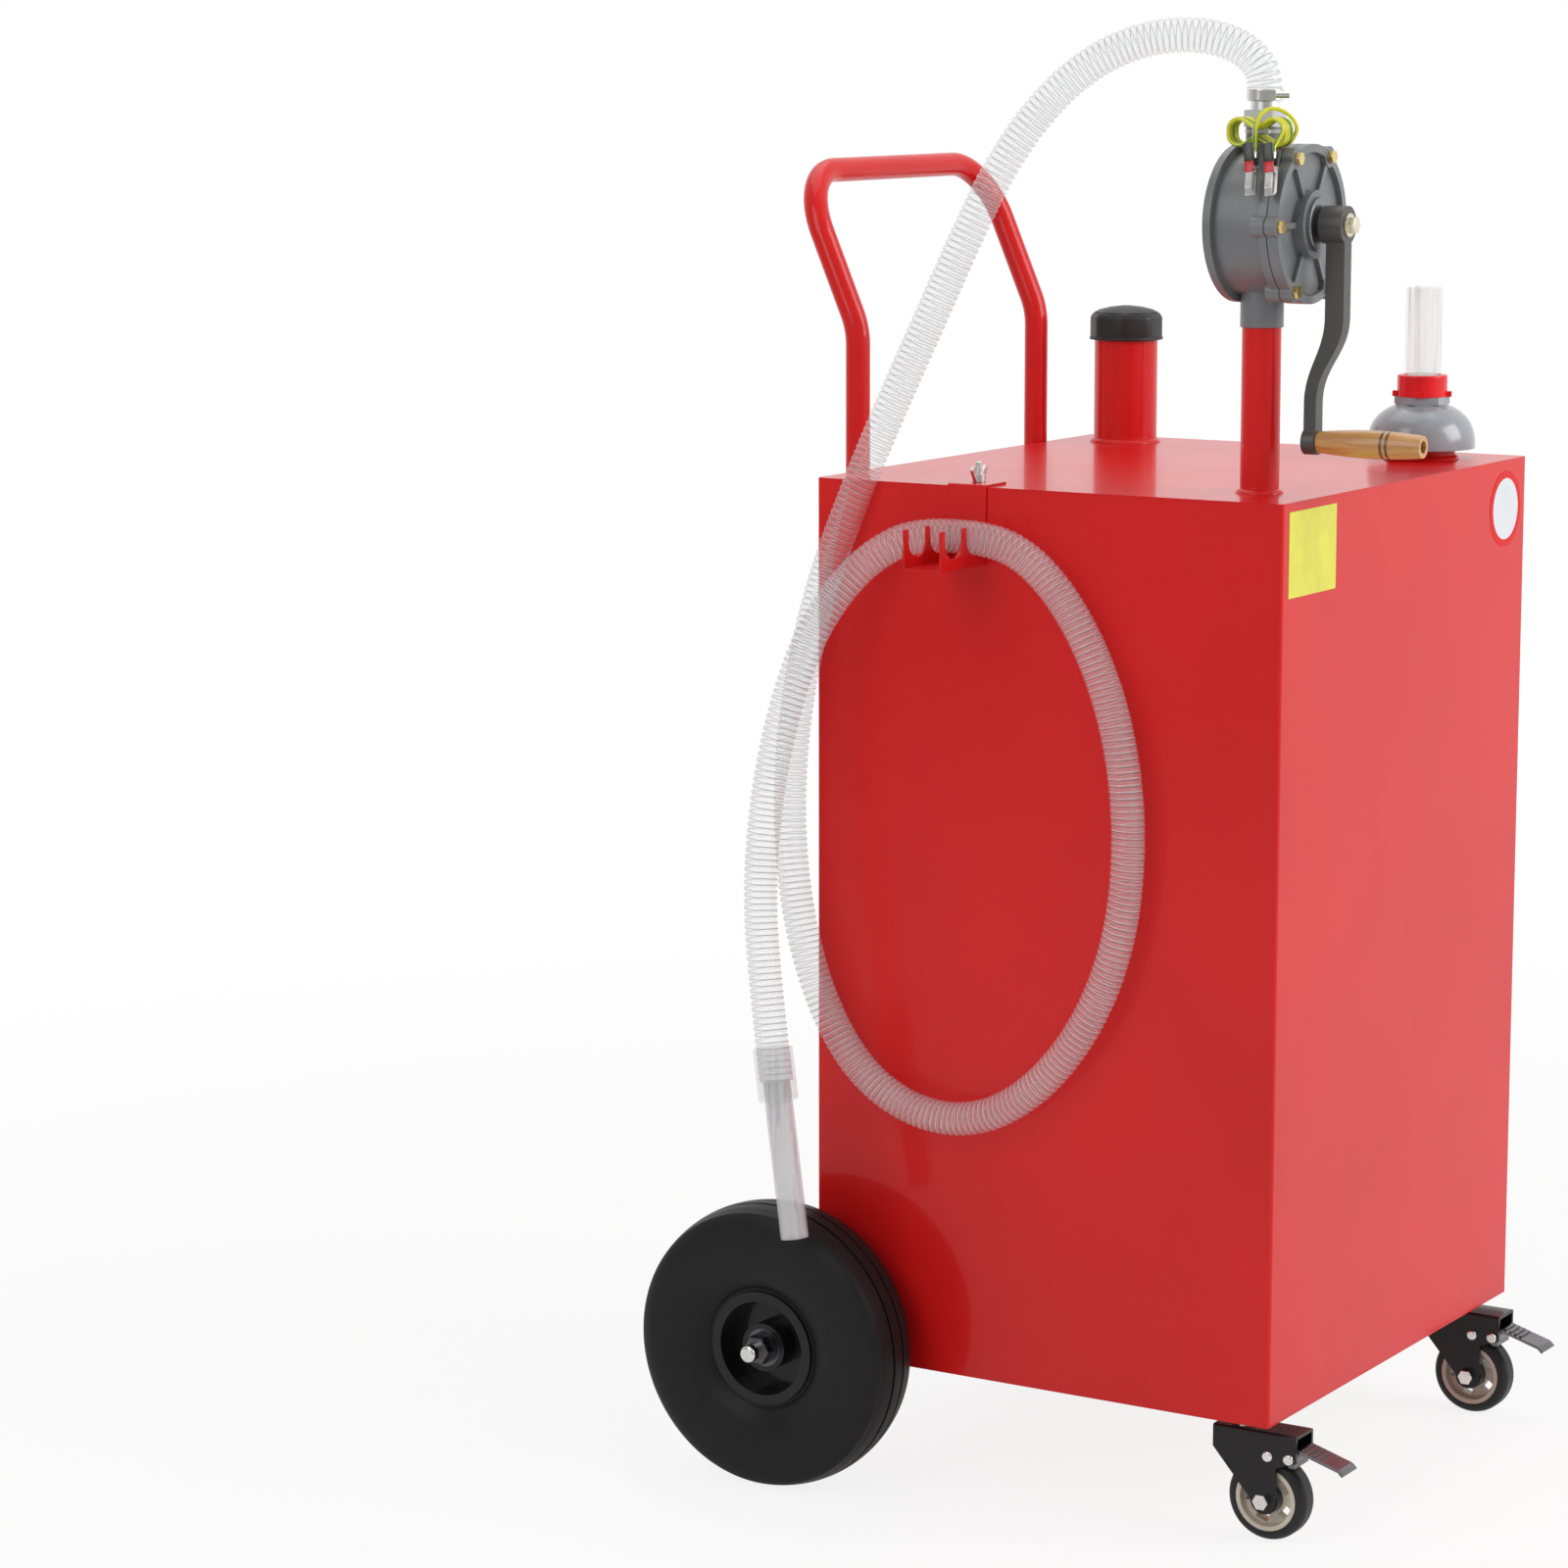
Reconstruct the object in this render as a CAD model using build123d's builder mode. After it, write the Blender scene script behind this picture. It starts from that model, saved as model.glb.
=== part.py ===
from build123d import *
import math
import os

# A fuel caddy: a steel tank on two wheels and two casters, with a hand crank pump, its hose,
# a fill neck and a gauge.
# Sizes are in millimetres. The floor is z 0, the tank's front is towards -y, and the hose hangs
# on its -x side.

os.makedirs("parts", exist_ok=True)

# General clearances and small shares
overrun = 5.0
hex_sides = 6
running_gap = 0.05
seat_gap = 0.3
weld_leg = 4.0
weld_overlap = 0.5
weld_round_share = 0.6
nut_chamfer_share = 0.05
edge_round_share = 0.8

# Tank
tank_width = 516.0
tank_depth = 456.0
tank_height = 800.0
tank_clearance = 110.0
wall_sheet = 1.5
end_plate = 2.0
tank_corner_radius = 4.0

# Handle
handle_radius = 11.0
handle_wall = 1.5
handle_half_width = 166.0
handle_leg_depth = 250.0
handle_bend_height = 126.0
handle_top_height = 265.0
handle_lean = 61.0
handle_corner_radius = 58.0
handle_bend_radius = 70.0
handle_gap = 2.0
pad_width = 30.0
pad_height = 24.0
pad_inset = 40.0

# Rear axle and big wheels
axle_radius = 10.0
axle_gap = 0.5
axle_end_radius = 8.0
axle_end_length = 25.7
axle_dome = 3.0
wheel_radius = 130.0
tyre_width = 70.0
tyre_shoulder_width = 56.0
tyre_shoulder_drop = 5.0
tyre_bulge_radius = 94.0
tyre_bead_radius = 46.0
tyre_bead_width = 44.0
tyre_bead_height = 9.0
tread_groove_width = 3.0
tread_groove_depth = 3.0
tread_groove_shares = (-0.32, -0.11, 0.11, 0.32)
wheel_gap = 20.0
rim_wall = 3.0
rim_flange_radius = 52.0
rim_barrel_wall = 3.0
hub_length = 42.0
hub_radius = 22.0
hub_bore_radius = 17.5
bearing_length = 12.0
axle_ear_thickness = 6.0
axle_ear_height = 40.0
axle_ear_margin = 9.0
axle_ear_inset = 60.0
washer_radius = 14.0
washer_thickness = 2.0
axle_nut_flats = 24.0
axle_nut_height = 12.0

# Casters
caster_inset_x = 38.0
caster_inset_y = 38.0
caster_trail = 24.0
caster_radius = 37.5
caster_width = 24.0
caster_tread = 9.0
caster_shell = 4.0
caster_hub_radius = 13.0
caster_web = 9.0
caster_window_count = 5
window_depth_share = 0.6
window_length_share = 1.0
fork_gap = 2.2
fork_sheet = 3.0
fork_top_gap = 10.0
fork_nose = 25.0
fork_nose_depth = 20.0
fork_front = 31.0
fork_front_depth = 24.0
fork_cheek_depth = 31.0
fork_lug_radius = 12.0
caster_axle_radius = 4.0
caster_nut_flats = 13.0
caster_nut_height = 6.5
stem_radius = 6.0
stem_head_radius = 10.0
stem_head_height = 3.0
stem_nut_flats = 24.0
rivet_radius = 3.0
rivet_head_radius = 5.0
rivet_head_height = 2.5
rivet_rise = 41.0
brake_rivet_offset = 4.0
pedal_pivot_offset = 24.0
pedal_reach = 50.0
pedal_sheet = 2.5
pedal_rise = 8.0
pedal_drop = 4.0
pedal_lip = 4.0
pedal_bend = 3.0
pedal_barrel_radius = 5.5
pedal_shoe = 6.0
pedal_rib_width = 2.0
pedal_rib_height = 1.5
pedal_rib_count = 4

# Hose hook
hook_y = 74.0
hook_width = 38.0
hook_sheet = 2.0
hook_flange = 34.0
hook_drop = 67.0
hook_reach = 79.0
hook_flange_height = 35.0
saddle_inset = 18.5
saddle_pitch = 36.3
saddle_radius = 15.4
saddle_floor = 10.0
stud_radius = 3.0
stud_height = 20.0
stud_inset = 19.0
wing_hub_radius = 6.0
wing_hub_height = 7.0
wing_span = 27.0
wing_height = 14.0
wing_sheet = 3.0

# Riser, pump and outlet
riser_inset_x = 78.0
riser_inset_y = 60.0
riser_radius = 16.7
riser_wall = 3.0
riser_height = 163.5
pump_axis_height = 229.0
pump_drum_radius = 60.0
pump_flange_radius = 67.0
pump_flange_thickness = 8.0
pump_rear_y = 25.0
pump_front_y = 35.0
pump_rear_wall = 9.0
pump_bore_radius = 47.0
pump_bore_offset = 5.0
gasket_thickness = 0.8
cover_plate = 5.0
cover_rim = 5.0
cover_rim_width = 7.0
cover_rib_width = 5.0
cover_rib_height = 4.0
cover_lug_radius = 9.0
cover_bolt_circle = 64.0
cover_bolt_count = 6
cover_bolt_radius = 3.0
cover_bolt_flats = 10.0
cover_bolt_head = 4.5
cover_bolt_length = 20.0
cover_lug_floor = 4.0
cover_boss_radius = 29.0
cover_boss_height = 5.0
packing_radius = 23.0
packing_height = 4.0
packing_spigot_radius = 14.0
shaft_radius = 8.0
rotor_radius = 38.0
rotor_gap = 1.0
vane_thickness = 5.0
vane_depth = 18.0
vane_slot_floor = 2.0
vane_count = 4
vane_start_angle = 45
neck_radius = 18.5
neck_socket_depth = 22.0
outlet_neck_radius = 16.0
outlet_height = 95.0
collar_side = 28.0
collar_height = 14.0
collar_corner = 3.0
passage_radius = 9.5
barb_radius = 12.4
barb_bore_radius = 9.5
barb_seat = 8.0
barb_grip = 10.0
hose_stand = 7.0
suction_radius = 11.5
suction_wall = 1.5
suction_floor_gap = 25.0
strainer_radius = 17.0
strainer_length = 45.0
strainer_slot_width = 3.0
strainer_slot_count = 8
strainer_slot_share = 0.7
clamp_width = 9.0
clamp_band = 0.8
clamp_rise = 1.0
clamp_azimuth = -58.0
clamp_box_length = 13.0
clamp_box_height = 8.0
clamp_box_depth = 7.0
clamp_screw_radius = 2.6
clamp_screw_length = 18.0

# Crank
crank_radius = 183.0
crank_boss_radius = 16.0
crank_boss_gap = 3.0
crank_boss_length = 21.0
crank_width = 14.0
crank_root_thickness = 17.0
crank_tip_thickness = 11.0
crank_step = 24.0
crank_step_start_share = 0.42
crank_step_end_share = 0.82
crank_end_radius = 11.0
crank_end_length = 12.0
crank_bolt_flats = 13.0
crank_bolt_head = 6.0
crank_washer_radius = 10.0
crank_washer = 2.0
grip_length = 96.0
grip_near_radius = 9.0
grip_belly_radius = 12.0
grip_end_radius = 9.5
grip_belly_share = 0.55
grip_bore_radius = 5.5
grip_bore_depth = 20.0
grip_pin_radius = 3.5
grip_pin_head_radius = 5.0
grip_pin_head = 3.0

# Fill neck and cap
fill_inset_x = 53.0
fill_inset_y = 64.0
fill_radius = 30.15
fill_wall = 3.5
fill_height = 122.0
cap_gap = 0.4
cap_wall = 2.2
cap_skirt = 26.3
cap_dome = 3.6
cap_flange = 2.0
cap_flange_height = 2.5
cap_side_count = 8
seal_height = 2.0

# Level gauge
gauge_inset_x = 68.0
gauge_inset_y = 76.0
gauge_neck_radius = 31.5
gauge_neck_height = 28.0
gauge_neck_wall = 4.0
gauge_lift = 10.0
gauge_dome_radius = 49.5
gauge_dome_height = 40.0
gauge_rim = 3.0
gauge_hex_flats = 44.0
gauge_hex_height = 7.0
gauge_nut_radius = 23.0
gauge_nut_height = 20.0
gauge_tab_radius = 27.0
gauge_tab_width = 9.0
gauge_tab_height = 5.0
gauge_tab_count = 4
gauge_tab_angle = 20
gauge_tube_radius = 16.0
gauge_tube_wall = 1.8
gauge_tube_height = 81.0
gauge_tube_flange = 3.6
gauge_rib_radius = 0.8
gauge_rib_count = 12
gauge_rod_radius = 2.5
gauge_disc_radius = 14.1
gauge_disc_height = 6.0
float_radius = 22.0
float_height = 45.0
float_drop = 95.0

# Hose, cuff and nozzle tube
hose_radius = 15.0
hose_bore_radius = 12.5
cuff_radius = 17.8
cuff_length = 48.0
cuff_grip = 30.0
cuff_lip = 2.0
nozzle_radius = 12.5
nozzle_seat_radius = 12.1
nozzle_seat_length = 19.0
nozzle_wall = 1.8
nozzle_length = 140.0

# Grounding wire: its hank, its tie and the two clips
wire_radius = 1.7
hank_out = 33.0
hank_forward = 12.0
hank_rise = 77.2
hank_turns = 5
hank_pitch = 4.0
hank_half_length = 26.0
hank_waist = 3.0
hank_lobe_ratio_share = 0.104
hank_spread = 4.0
hank_exit_out = 16.5
hank_exit_rise = 6.0
wire_straight = 3.4
tie_gap = 0.4
tie_band = 1.0
tie_width = 3.0
clip_length = 42.0
clip_width = 9.0
clip_sheet = 1.2
clip_depth = 4.5
clip_tail_out = 55.0
clip_tail_rise = 62.0
clip_tip_out = 76.0
clip_tip_rise = 27.5
clip_tip_forward = 8.0
clip_near_forward = 16.0
clip_spacing = 18.0
clip_pivot_share = 0.45
clip_ear_radius = 3.5
clip_pin_radius = 1.5
clip_crimp_radius = 2.6
clip_crimp_length = 6.0
clip_crimp_offset = 3.0
clip_tail_rise_share = 0.24

# Blank labels
label_width = 92.0
label_height = 73.0
label_inset = 13.0
label_drop = 8.0
label_sheet = 0.3
sign_radius = 35.0
sign_inset = 47.0
sign_drop = 45.0

# Heights and places worked out from the sizes above
tank_top = tank_clearance + tank_height
half_width = tank_width / 2
half_depth = tank_depth / 2
axle_reach = half_depth + axle_gap + axle_radius
cover_stack = gasket_thickness + cover_plate + cover_rim + cover_boss_height + packing_height
crank_face_reach = pump_front_y + cover_stack + crank_boss_gap + crank_boss_length
crank_end_reach = crank_face_reach - crank_step
riser_offset_y = half_depth - riser_inset_y
front_reach = riser_offset_y + crank_end_reach + seat_gap + grip_length
rear_reach = axle_reach + wheel_radius
tank_y = (front_reach - rear_reach) / 2
front_y = tank_y - half_depth
rear_y = tank_y + half_depth
axle_y = tank_y + axle_reach
wheel_x = half_width + wheel_gap + tyre_width / 2
riser_x = riser_inset_x - half_width
riser_y = tank_y - riser_offset_y
pump_z = tank_top + pump_axis_height
outlet_z = pump_z + outlet_height
hose_start_z = outlet_z + hose_stand
fill_x = half_width - fill_inset_x
fill_y = rear_y - fill_inset_y
gauge_x = half_width - gauge_inset_x
gauge_y = front_y + gauge_inset_y


def save(piece, name):
    piece.part.label = name
    export_step(piece.part, f"parts/{name}.step")


def facing_x(x, y, z, sense=1):
    return Plane(origin=(x, y, z), x_dir=(0, 1, 0), z_dir=(sense, 0, 0))


def facing_front(x, y, z):
    return Plane(origin=(x, y, z), x_dir=(1, 0, 0), z_dir=(0, -1, 0))


def facing_up(x, y, z):
    return Plane(origin=(x, y, z), x_dir=(1, 0, 0), z_dir=(0, 0, 1))


def bar(plane, radius, length, mode=Mode.ADD):
    # A round bar, or a round hole, that grows along the plane's normal.
    with BuildSketch(plane) as disc:
        Circle(radius)
    extrude(disc.sketch, amount=length, mode=mode)


def tube(plane, outer, inner, length):
    with BuildSketch(plane) as ring:
        Circle(outer)
        Circle(inner, mode=Mode.SUBTRACT)
    extrude(ring.sketch, amount=length)


def nut(plane, flats, bore, height):
    # A hex nut or bolt head, chamfered on its far face.
    with BuildSketch(plane) as outline:
        RegularPolygon(flats / 2, hex_sides, major_radius=False)
        if bore:
            Circle(bore, mode=Mode.SUBTRACT)
    extrude(outline.sketch, amount=height)
    far_face = edges(Select.LAST).filter_by(GeomType.LINE).group_by(Axis(plane.origin, plane.z_dir))[-1]
    chamfer(far_face, flats * nut_chamfer_share)


def weld_bead(x, y, z, radius):
    # A rounded ring of weld metal at the foot of a pipe.
    inner = radius - weld_overlap
    crown = weld_leg * weld_round_share
    with BuildSketch(facing_front(x, y, z)) as bead:
        with BuildLine():
            Polyline((radius + weld_leg, 0), (inner, 0), (inner, weld_leg))
            ThreePointArc((inner, weld_leg), (radius + crown, crown), (radius + weld_leg, 0))
        make_face()
    revolve(bead.sketch, axis=Axis((x, y, z), (0, 0, 1)))


def round_ends(piece, axis, radius):
    # Rounds the rims at both ends of a piece.
    levels = piece.edges().filter_by(GeomType.CIRCLE).group_by(axis)
    fillet(levels[0] + levels[-1], radius)


# Tank shell: a wrap of bent sheet between two end plates
with BuildPart() as tank_wrap:
    with BuildSketch(facing_up(0, tank_y, tank_clearance + end_plate)):
        RectangleRounded(tank_width, tank_depth, tank_corner_radius)
        RectangleRounded(
            tank_width - 2 * wall_sheet,
            tank_depth - 2 * wall_sheet,
            tank_corner_radius - wall_sheet,
            mode=Mode.SUBTRACT,
        )
    extrude(amount=tank_height - 2 * end_plate)
save(tank_wrap, "tank_wrap")

with BuildPart() as top_plate:
    with BuildSketch(facing_up(0, tank_y, tank_top - end_plate)):
        RectangleRounded(tank_width, tank_depth, tank_corner_radius)
        for x, y, bore in (
            (fill_x, fill_y, fill_radius - fill_wall),
            (gauge_x, gauge_y, gauge_neck_radius - gauge_neck_wall),
            (riser_x, riser_y, riser_radius - riser_wall),
        ):
            with Locations((x, y - tank_y)):
                Circle(bore, mode=Mode.SUBTRACT)
    extrude(amount=end_plate)
save(top_plate, "tank_top")

with BuildPart() as bottom_plate:
    with BuildSketch(facing_up(0, tank_y, tank_clearance)):
        RectangleRounded(tank_width, tank_depth, tank_corner_radius)
    extrude(amount=end_plate)
save(bottom_plate, "tank_bottom")

# Push handle: one bent tube
handle_y = rear_y + handle_gap + handle_radius
leg_foot = (0, -handle_leg_depth)
leg_bend = (0, handle_bend_height)
leg_top = (handle_lean, handle_top_height)
handle_points = [
    (side * handle_half_width, handle_y + lean, tank_top + rise)
    for side, stops in ((-1, (leg_foot, leg_bend, leg_top)), (1, (leg_top, leg_bend, leg_foot)))
    for lean, rise in stops
]
handle_radii = [handle_bend_radius, handle_corner_radius, handle_corner_radius, handle_bend_radius]
with BuildPart() as handle:
    with BuildLine():
        FilletPolyline(*handle_points, radius=handle_radii)
    with BuildSketch(facing_up(*handle_points[0])):
        Circle(handle_radius)
        Circle(handle_radius - handle_wall, mode=Mode.SUBTRACT)
    sweep()
save(handle, "handle")

# Pads for the handle and ears for the axle, welded to the rear wall
pad_depth = handle_gap + handle_radius
leg_foot_z = tank_top - handle_leg_depth
ear_depth = axle_gap + 2 * axle_radius + axle_ear_margin
with BuildPart() as rear_brackets:
    for side in (-1, 1):
        for z in (tank_top - pad_inset, leg_foot_z + pad_inset):
            with Locations((side * handle_half_width, rear_y + pad_depth / 2, z)):
                Box(pad_width, pad_depth, pad_height)
        leg_plane = facing_up(side * handle_half_width, handle_y, leg_foot_z)
        bar(leg_plane, handle_radius + running_gap, handle_leg_depth, Mode.SUBTRACT)
        ear_x = side * (half_width - axle_ear_inset)
        with Locations((ear_x, rear_y + ear_depth / 2, wheel_radius)):
            Box(axle_ear_thickness, ear_depth, axle_ear_height)
        hole_plane = facing_x(ear_x - axle_ear_thickness, axle_y, wheel_radius)
        bar(hole_plane, axle_radius + running_gap, 2 * axle_ear_thickness, Mode.SUBTRACT)
save(rear_brackets, "rear_brackets")

# Axle with turned-down, domed ends, and a washer and nut on each
hub_end_x = wheel_x + hub_length / 2
shoulder_x = hub_end_x + seat_gap
axle_half_length = shoulder_x + washer_thickness + axle_end_length
with BuildPart() as axle:
    bar(facing_x(-shoulder_x, axle_y, wheel_radius), axle_radius, 2 * shoulder_x)
    bar(facing_x(-axle_half_length, axle_y, wheel_radius), axle_end_radius, 2 * axle_half_length)
    round_ends(axle, Axis.X, axle_dome)
save(axle, "axle")

with BuildPart() as axle_nuts:
    for side in (-1, 1):
        washer_plane = facing_x(side * shoulder_x, axle_y, wheel_radius, side)
        nut_bore = axle_end_radius + running_gap
        tube(washer_plane, washer_radius, nut_bore, washer_thickness)
        nut(washer_plane.offset(washer_thickness), axle_nut_flats, nut_bore, axle_nut_height)
save(axle_nuts, "axle_nuts")

# Big wheels: a grooved tyre on a steel rim with two bearings
half_bead = tyre_bead_width / 2
shoulder = (tyre_shoulder_width / 2, wheel_radius - tyre_shoulder_drop)
bulge = (tyre_width / 2, tyre_bulge_radius)
bead_top = (half_bead, tyre_bead_radius + tyre_bead_height)
for side, name in ((-1, "left"), (1, "right")):
    centre = facing_front(side * wheel_x, axle_y, wheel_radius)
    wheel_axis = Axis(centre.origin, centre.x_dir)
    with BuildPart() as tyre:
        with BuildSketch(centre):
            with BuildLine():
                ThreePointArc((-shoulder[0], shoulder[1]), (0, wheel_radius), shoulder)
                Spline(shoulder, bulge, tangents=((1, -1), (0, -1)))
                Spline(bulge, bead_top, tangents=((0, -1), (-1, -1)))
                Polyline(
                    bead_top,
                    (half_bead, tyre_bead_radius),
                    (-half_bead, tyre_bead_radius),
                    (-half_bead, bead_top[1]),
                )
                Spline((-half_bead, bead_top[1]), (-bulge[0], bulge[1]), tangents=((-1, 1), (0, 1)))
                Spline((-bulge[0], bulge[1]), (-shoulder[0], shoulder[1]), tangents=((0, 1), (1, 1)))
            make_face()
            for share in tread_groove_shares:
                with Locations((share * tyre_width, wheel_radius)):
                    Rectangle(tread_groove_width, 2 * tread_groove_depth, mode=Mode.SUBTRACT)
        revolve(axis=wheel_axis)
    save(tyre, f"tyre_{name}")

    with BuildPart() as rim:
        with BuildSketch(centre):
            barrel_radius = tyre_bead_radius - rim_barrel_wall
            with Locations((0, hub_bore_radius)):
                Rectangle(hub_length, hub_radius - hub_bore_radius, align=(Align.CENTER, Align.MIN))
            with Locations((0, hub_radius)):
                Rectangle(rim_wall, barrel_radius - hub_radius, align=(Align.CENTER, Align.MIN))
            with Locations((0, barrel_radius)):
                Rectangle(tyre_bead_width + 2 * rim_wall, rim_barrel_wall, align=(Align.CENTER, Align.MIN))
            flange_mid = half_bead + rim_wall / 2
            with Locations((flange_mid, tyre_bead_radius), (-flange_mid, tyre_bead_radius)):
                Rectangle(rim_wall, rim_flange_radius - tyre_bead_radius, align=(Align.CENTER, Align.MIN))
        revolve(axis=wheel_axis)
    save(rim, f"rim_{name}")

    with BuildPart() as bearings:
        for start_x in (-hub_length / 2, hub_length / 2 - bearing_length):
            race_plane = facing_x(side * wheel_x + start_x, axle_y, wheel_radius)
            tube(race_plane, hub_bore_radius, axle_radius + running_gap, bearing_length)
    save(bearings, f"bearings_{name}")

# Caster stems: a king bolt and its nut under each front corner
caster_x = half_width - caster_inset_x
stem_y = front_y + caster_inset_y
caster_y = stem_y - caster_trail
crown_top = tank_clearance - fork_top_gap - seat_gap
crown_bottom = crown_top - fork_sheet
stem_head_z = crown_bottom - seat_gap - stem_head_height
with BuildPart() as caster_stems:
    for side in (-1, 1):
        bar(facing_up(side * caster_x, stem_y, stem_head_z), stem_head_radius, stem_head_height)
        bar(facing_up(side * caster_x, stem_y, stem_head_z), stem_radius, tank_clearance - stem_head_z)
        nut(facing_up(side * caster_x, stem_y, crown_top + seat_gap), stem_nut_flats, 0, fork_top_gap)
save(caster_stems, "caster_stems")

# Casters: a fork, the bolt and rivets through it, a wheel and a brake pedal
fork_inner = caster_width / 2 + fork_gap
fork_outer = fork_inner + fork_sheet
pedal_y = caster_y - pedal_pivot_offset
pedal_z = caster_radius + rivet_rise
brake_rivet_y = caster_y - brake_rivet_offset
core_radius = caster_radius - caster_tread
core_bore = caster_axle_radius + running_gap
hub_half = fork_inner - seat_gap
fork_outline = (
    (stem_y + fork_nose, crown_top),
    (caster_y - fork_front, crown_top),
    (caster_y - fork_front, crown_top - fork_front_depth),
    (caster_y - fork_lug_radius, crown_top - fork_cheek_depth),
    (caster_y - fork_lug_radius, caster_radius),
    (caster_y + fork_lug_radius, caster_radius),
    (stem_y + fork_nose, crown_top - fork_nose_depth),
)
pedal_outline = (
    (pedal_y + pedal_bend / 2, pedal_z + pedal_barrel_radius - pedal_sheet / 2),
    (pedal_y - pedal_barrel_radius, pedal_z + pedal_rise),
    (pedal_y - pedal_reach + pedal_lip, pedal_z - pedal_drop),
    (pedal_y - pedal_reach, pedal_z - pedal_drop - pedal_lip),
)
for side, name in ((-1, "left"), (1, "right")):
    x = side * caster_x
    fork_plane = facing_x(x - fork_outer, 0, 0)
    with BuildPart() as fork:
        with BuildSketch(fork_plane):
            Polygon(*fork_outline, align=None)
            with Locations((caster_y, caster_radius)):
                Circle(fork_lug_radius)
        extrude(amount=2 * fork_outer)
        with Locations((x, stem_y, crown_bottom - tank_clearance)):
            Box(2 * fork_inner, tank_depth, 2 * tank_clearance, mode=Mode.SUBTRACT)
        stem_bore_plane = facing_up(x, stem_y, crown_bottom - overrun)
        bar(stem_bore_plane, stem_radius + running_gap, fork_front, Mode.SUBTRACT)
        for y, z, radius in (
            (caster_y, caster_radius, caster_axle_radius),
            (pedal_y, pedal_z, rivet_radius),
            (brake_rivet_y, pedal_z, rivet_radius),
        ):
            bar(facing_x(x - 2 * fork_outer, y, z), radius + running_gap, 4 * fork_outer, Mode.SUBTRACT)
        shoulders = fork.edges().filter_by(Axis.Y).group_by(Axis.Z)[-1]
        fillet(shoulders, fork_sheet * edge_round_share)
    save(fork, f"fork_{name}")

    with BuildPart() as bolts:
        bar(facing_x(x - fork_outer, caster_y, caster_radius), caster_axle_radius, 2 * fork_outer)
        for y in (pedal_y, brake_rivet_y):
            bar(facing_x(x - fork_outer, y, pedal_z), rivet_radius, 2 * fork_outer)
        for flip in (-1, 1):
            nut_plane = facing_x(x + flip * fork_outer, caster_y, caster_radius, flip)
            nut(nut_plane, caster_nut_flats, 0, caster_nut_height)
            for y in (pedal_y, brake_rivet_y):
                bar(facing_x(x + flip * fork_outer, y, pedal_z, flip), rivet_head_radius, rivet_head_height)
                head_rim = edges(Select.LAST).group_by(Axis((x, y, pedal_z), (flip, 0, 0)))[-1]
                fillet(head_rim, rivet_head_height * edge_round_share)
    save(bolts, f"caster_bolts_{name}")

    caster_plane = facing_x(x - caster_width / 2, caster_y, caster_radius)
    with BuildPart() as caster_tyre:
        tube(caster_plane, caster_radius, core_radius, caster_width)
        rims = caster_tyre.edges().filter_by(GeomType.CIRCLE).group_by(SortBy.RADIUS)[-1]
        fillet(rims, caster_tread * edge_round_share)
    save(caster_tyre, f"caster_tyre_{name}")

    with BuildPart() as core:
        tube(caster_plane, core_radius, core_radius - caster_shell, caster_width)
        web_plane = facing_x(x - caster_web / 2, caster_y, caster_radius)
        tube(web_plane, core_radius - weld_overlap, core_bore, caster_web)
        tube(facing_x(x - hub_half, caster_y, caster_radius), caster_hub_radius, core_bore, 2 * hub_half)
        window_span = core_radius - caster_shell - caster_hub_radius
        with BuildSketch(facing_x(x - caster_web, caster_y, caster_radius)):
            with PolarLocations(caster_hub_radius + window_span / 2, caster_window_count):
                Rectangle(window_span * window_depth_share, window_span * window_length_share)
        extrude(amount=2 * caster_web, mode=Mode.SUBTRACT)
    save(core, f"caster_core_{name}")

    with BuildPart() as pedal:
        with BuildSketch(facing_x(x - hub_half, 0, 0)):
            with BuildLine():
                FilletPolyline(*pedal_outline, radius=pedal_bend)
            trace(line_width=pedal_sheet)
            with Locations((pedal_y, pedal_z)):
                Circle(pedal_barrel_radius)
            with Locations((pedal_y - pedal_bend / 2, pedal_z - pedal_barrel_radius)):
                Rectangle(pedal_shoe, pedal_shoe)
        extrude(amount=2 * hub_half)
        slope_start = Vector(0, *pedal_outline[1])
        slope_run = Vector(0, *pedal_outline[2]) - slope_start
        for index in range(pedal_rib_count):
            rib_share = (index + 1) / (2 * pedal_rib_count)
            rib_centre = slope_start + slope_run * rib_share + Vector(x, 0, 0)
            rib_plane = Plane(origin=rib_centre, x_dir=(1, 0, 0), z_dir=(0, slope_run.Z, -slope_run.Y))
            with BuildSketch(rib_plane):
                Rectangle(2 * hub_half - 2 * pedal_bend, pedal_rib_width)
            extrude(amount=pedal_sheet / 2 + pedal_rib_height)
        rivet_plane = facing_x(x - fork_outer, pedal_y, pedal_z)
        bar(rivet_plane, rivet_radius + running_gap, 2 * fork_outer, Mode.SUBTRACT)
    save(pedal, f"pedal_{name}")

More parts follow.
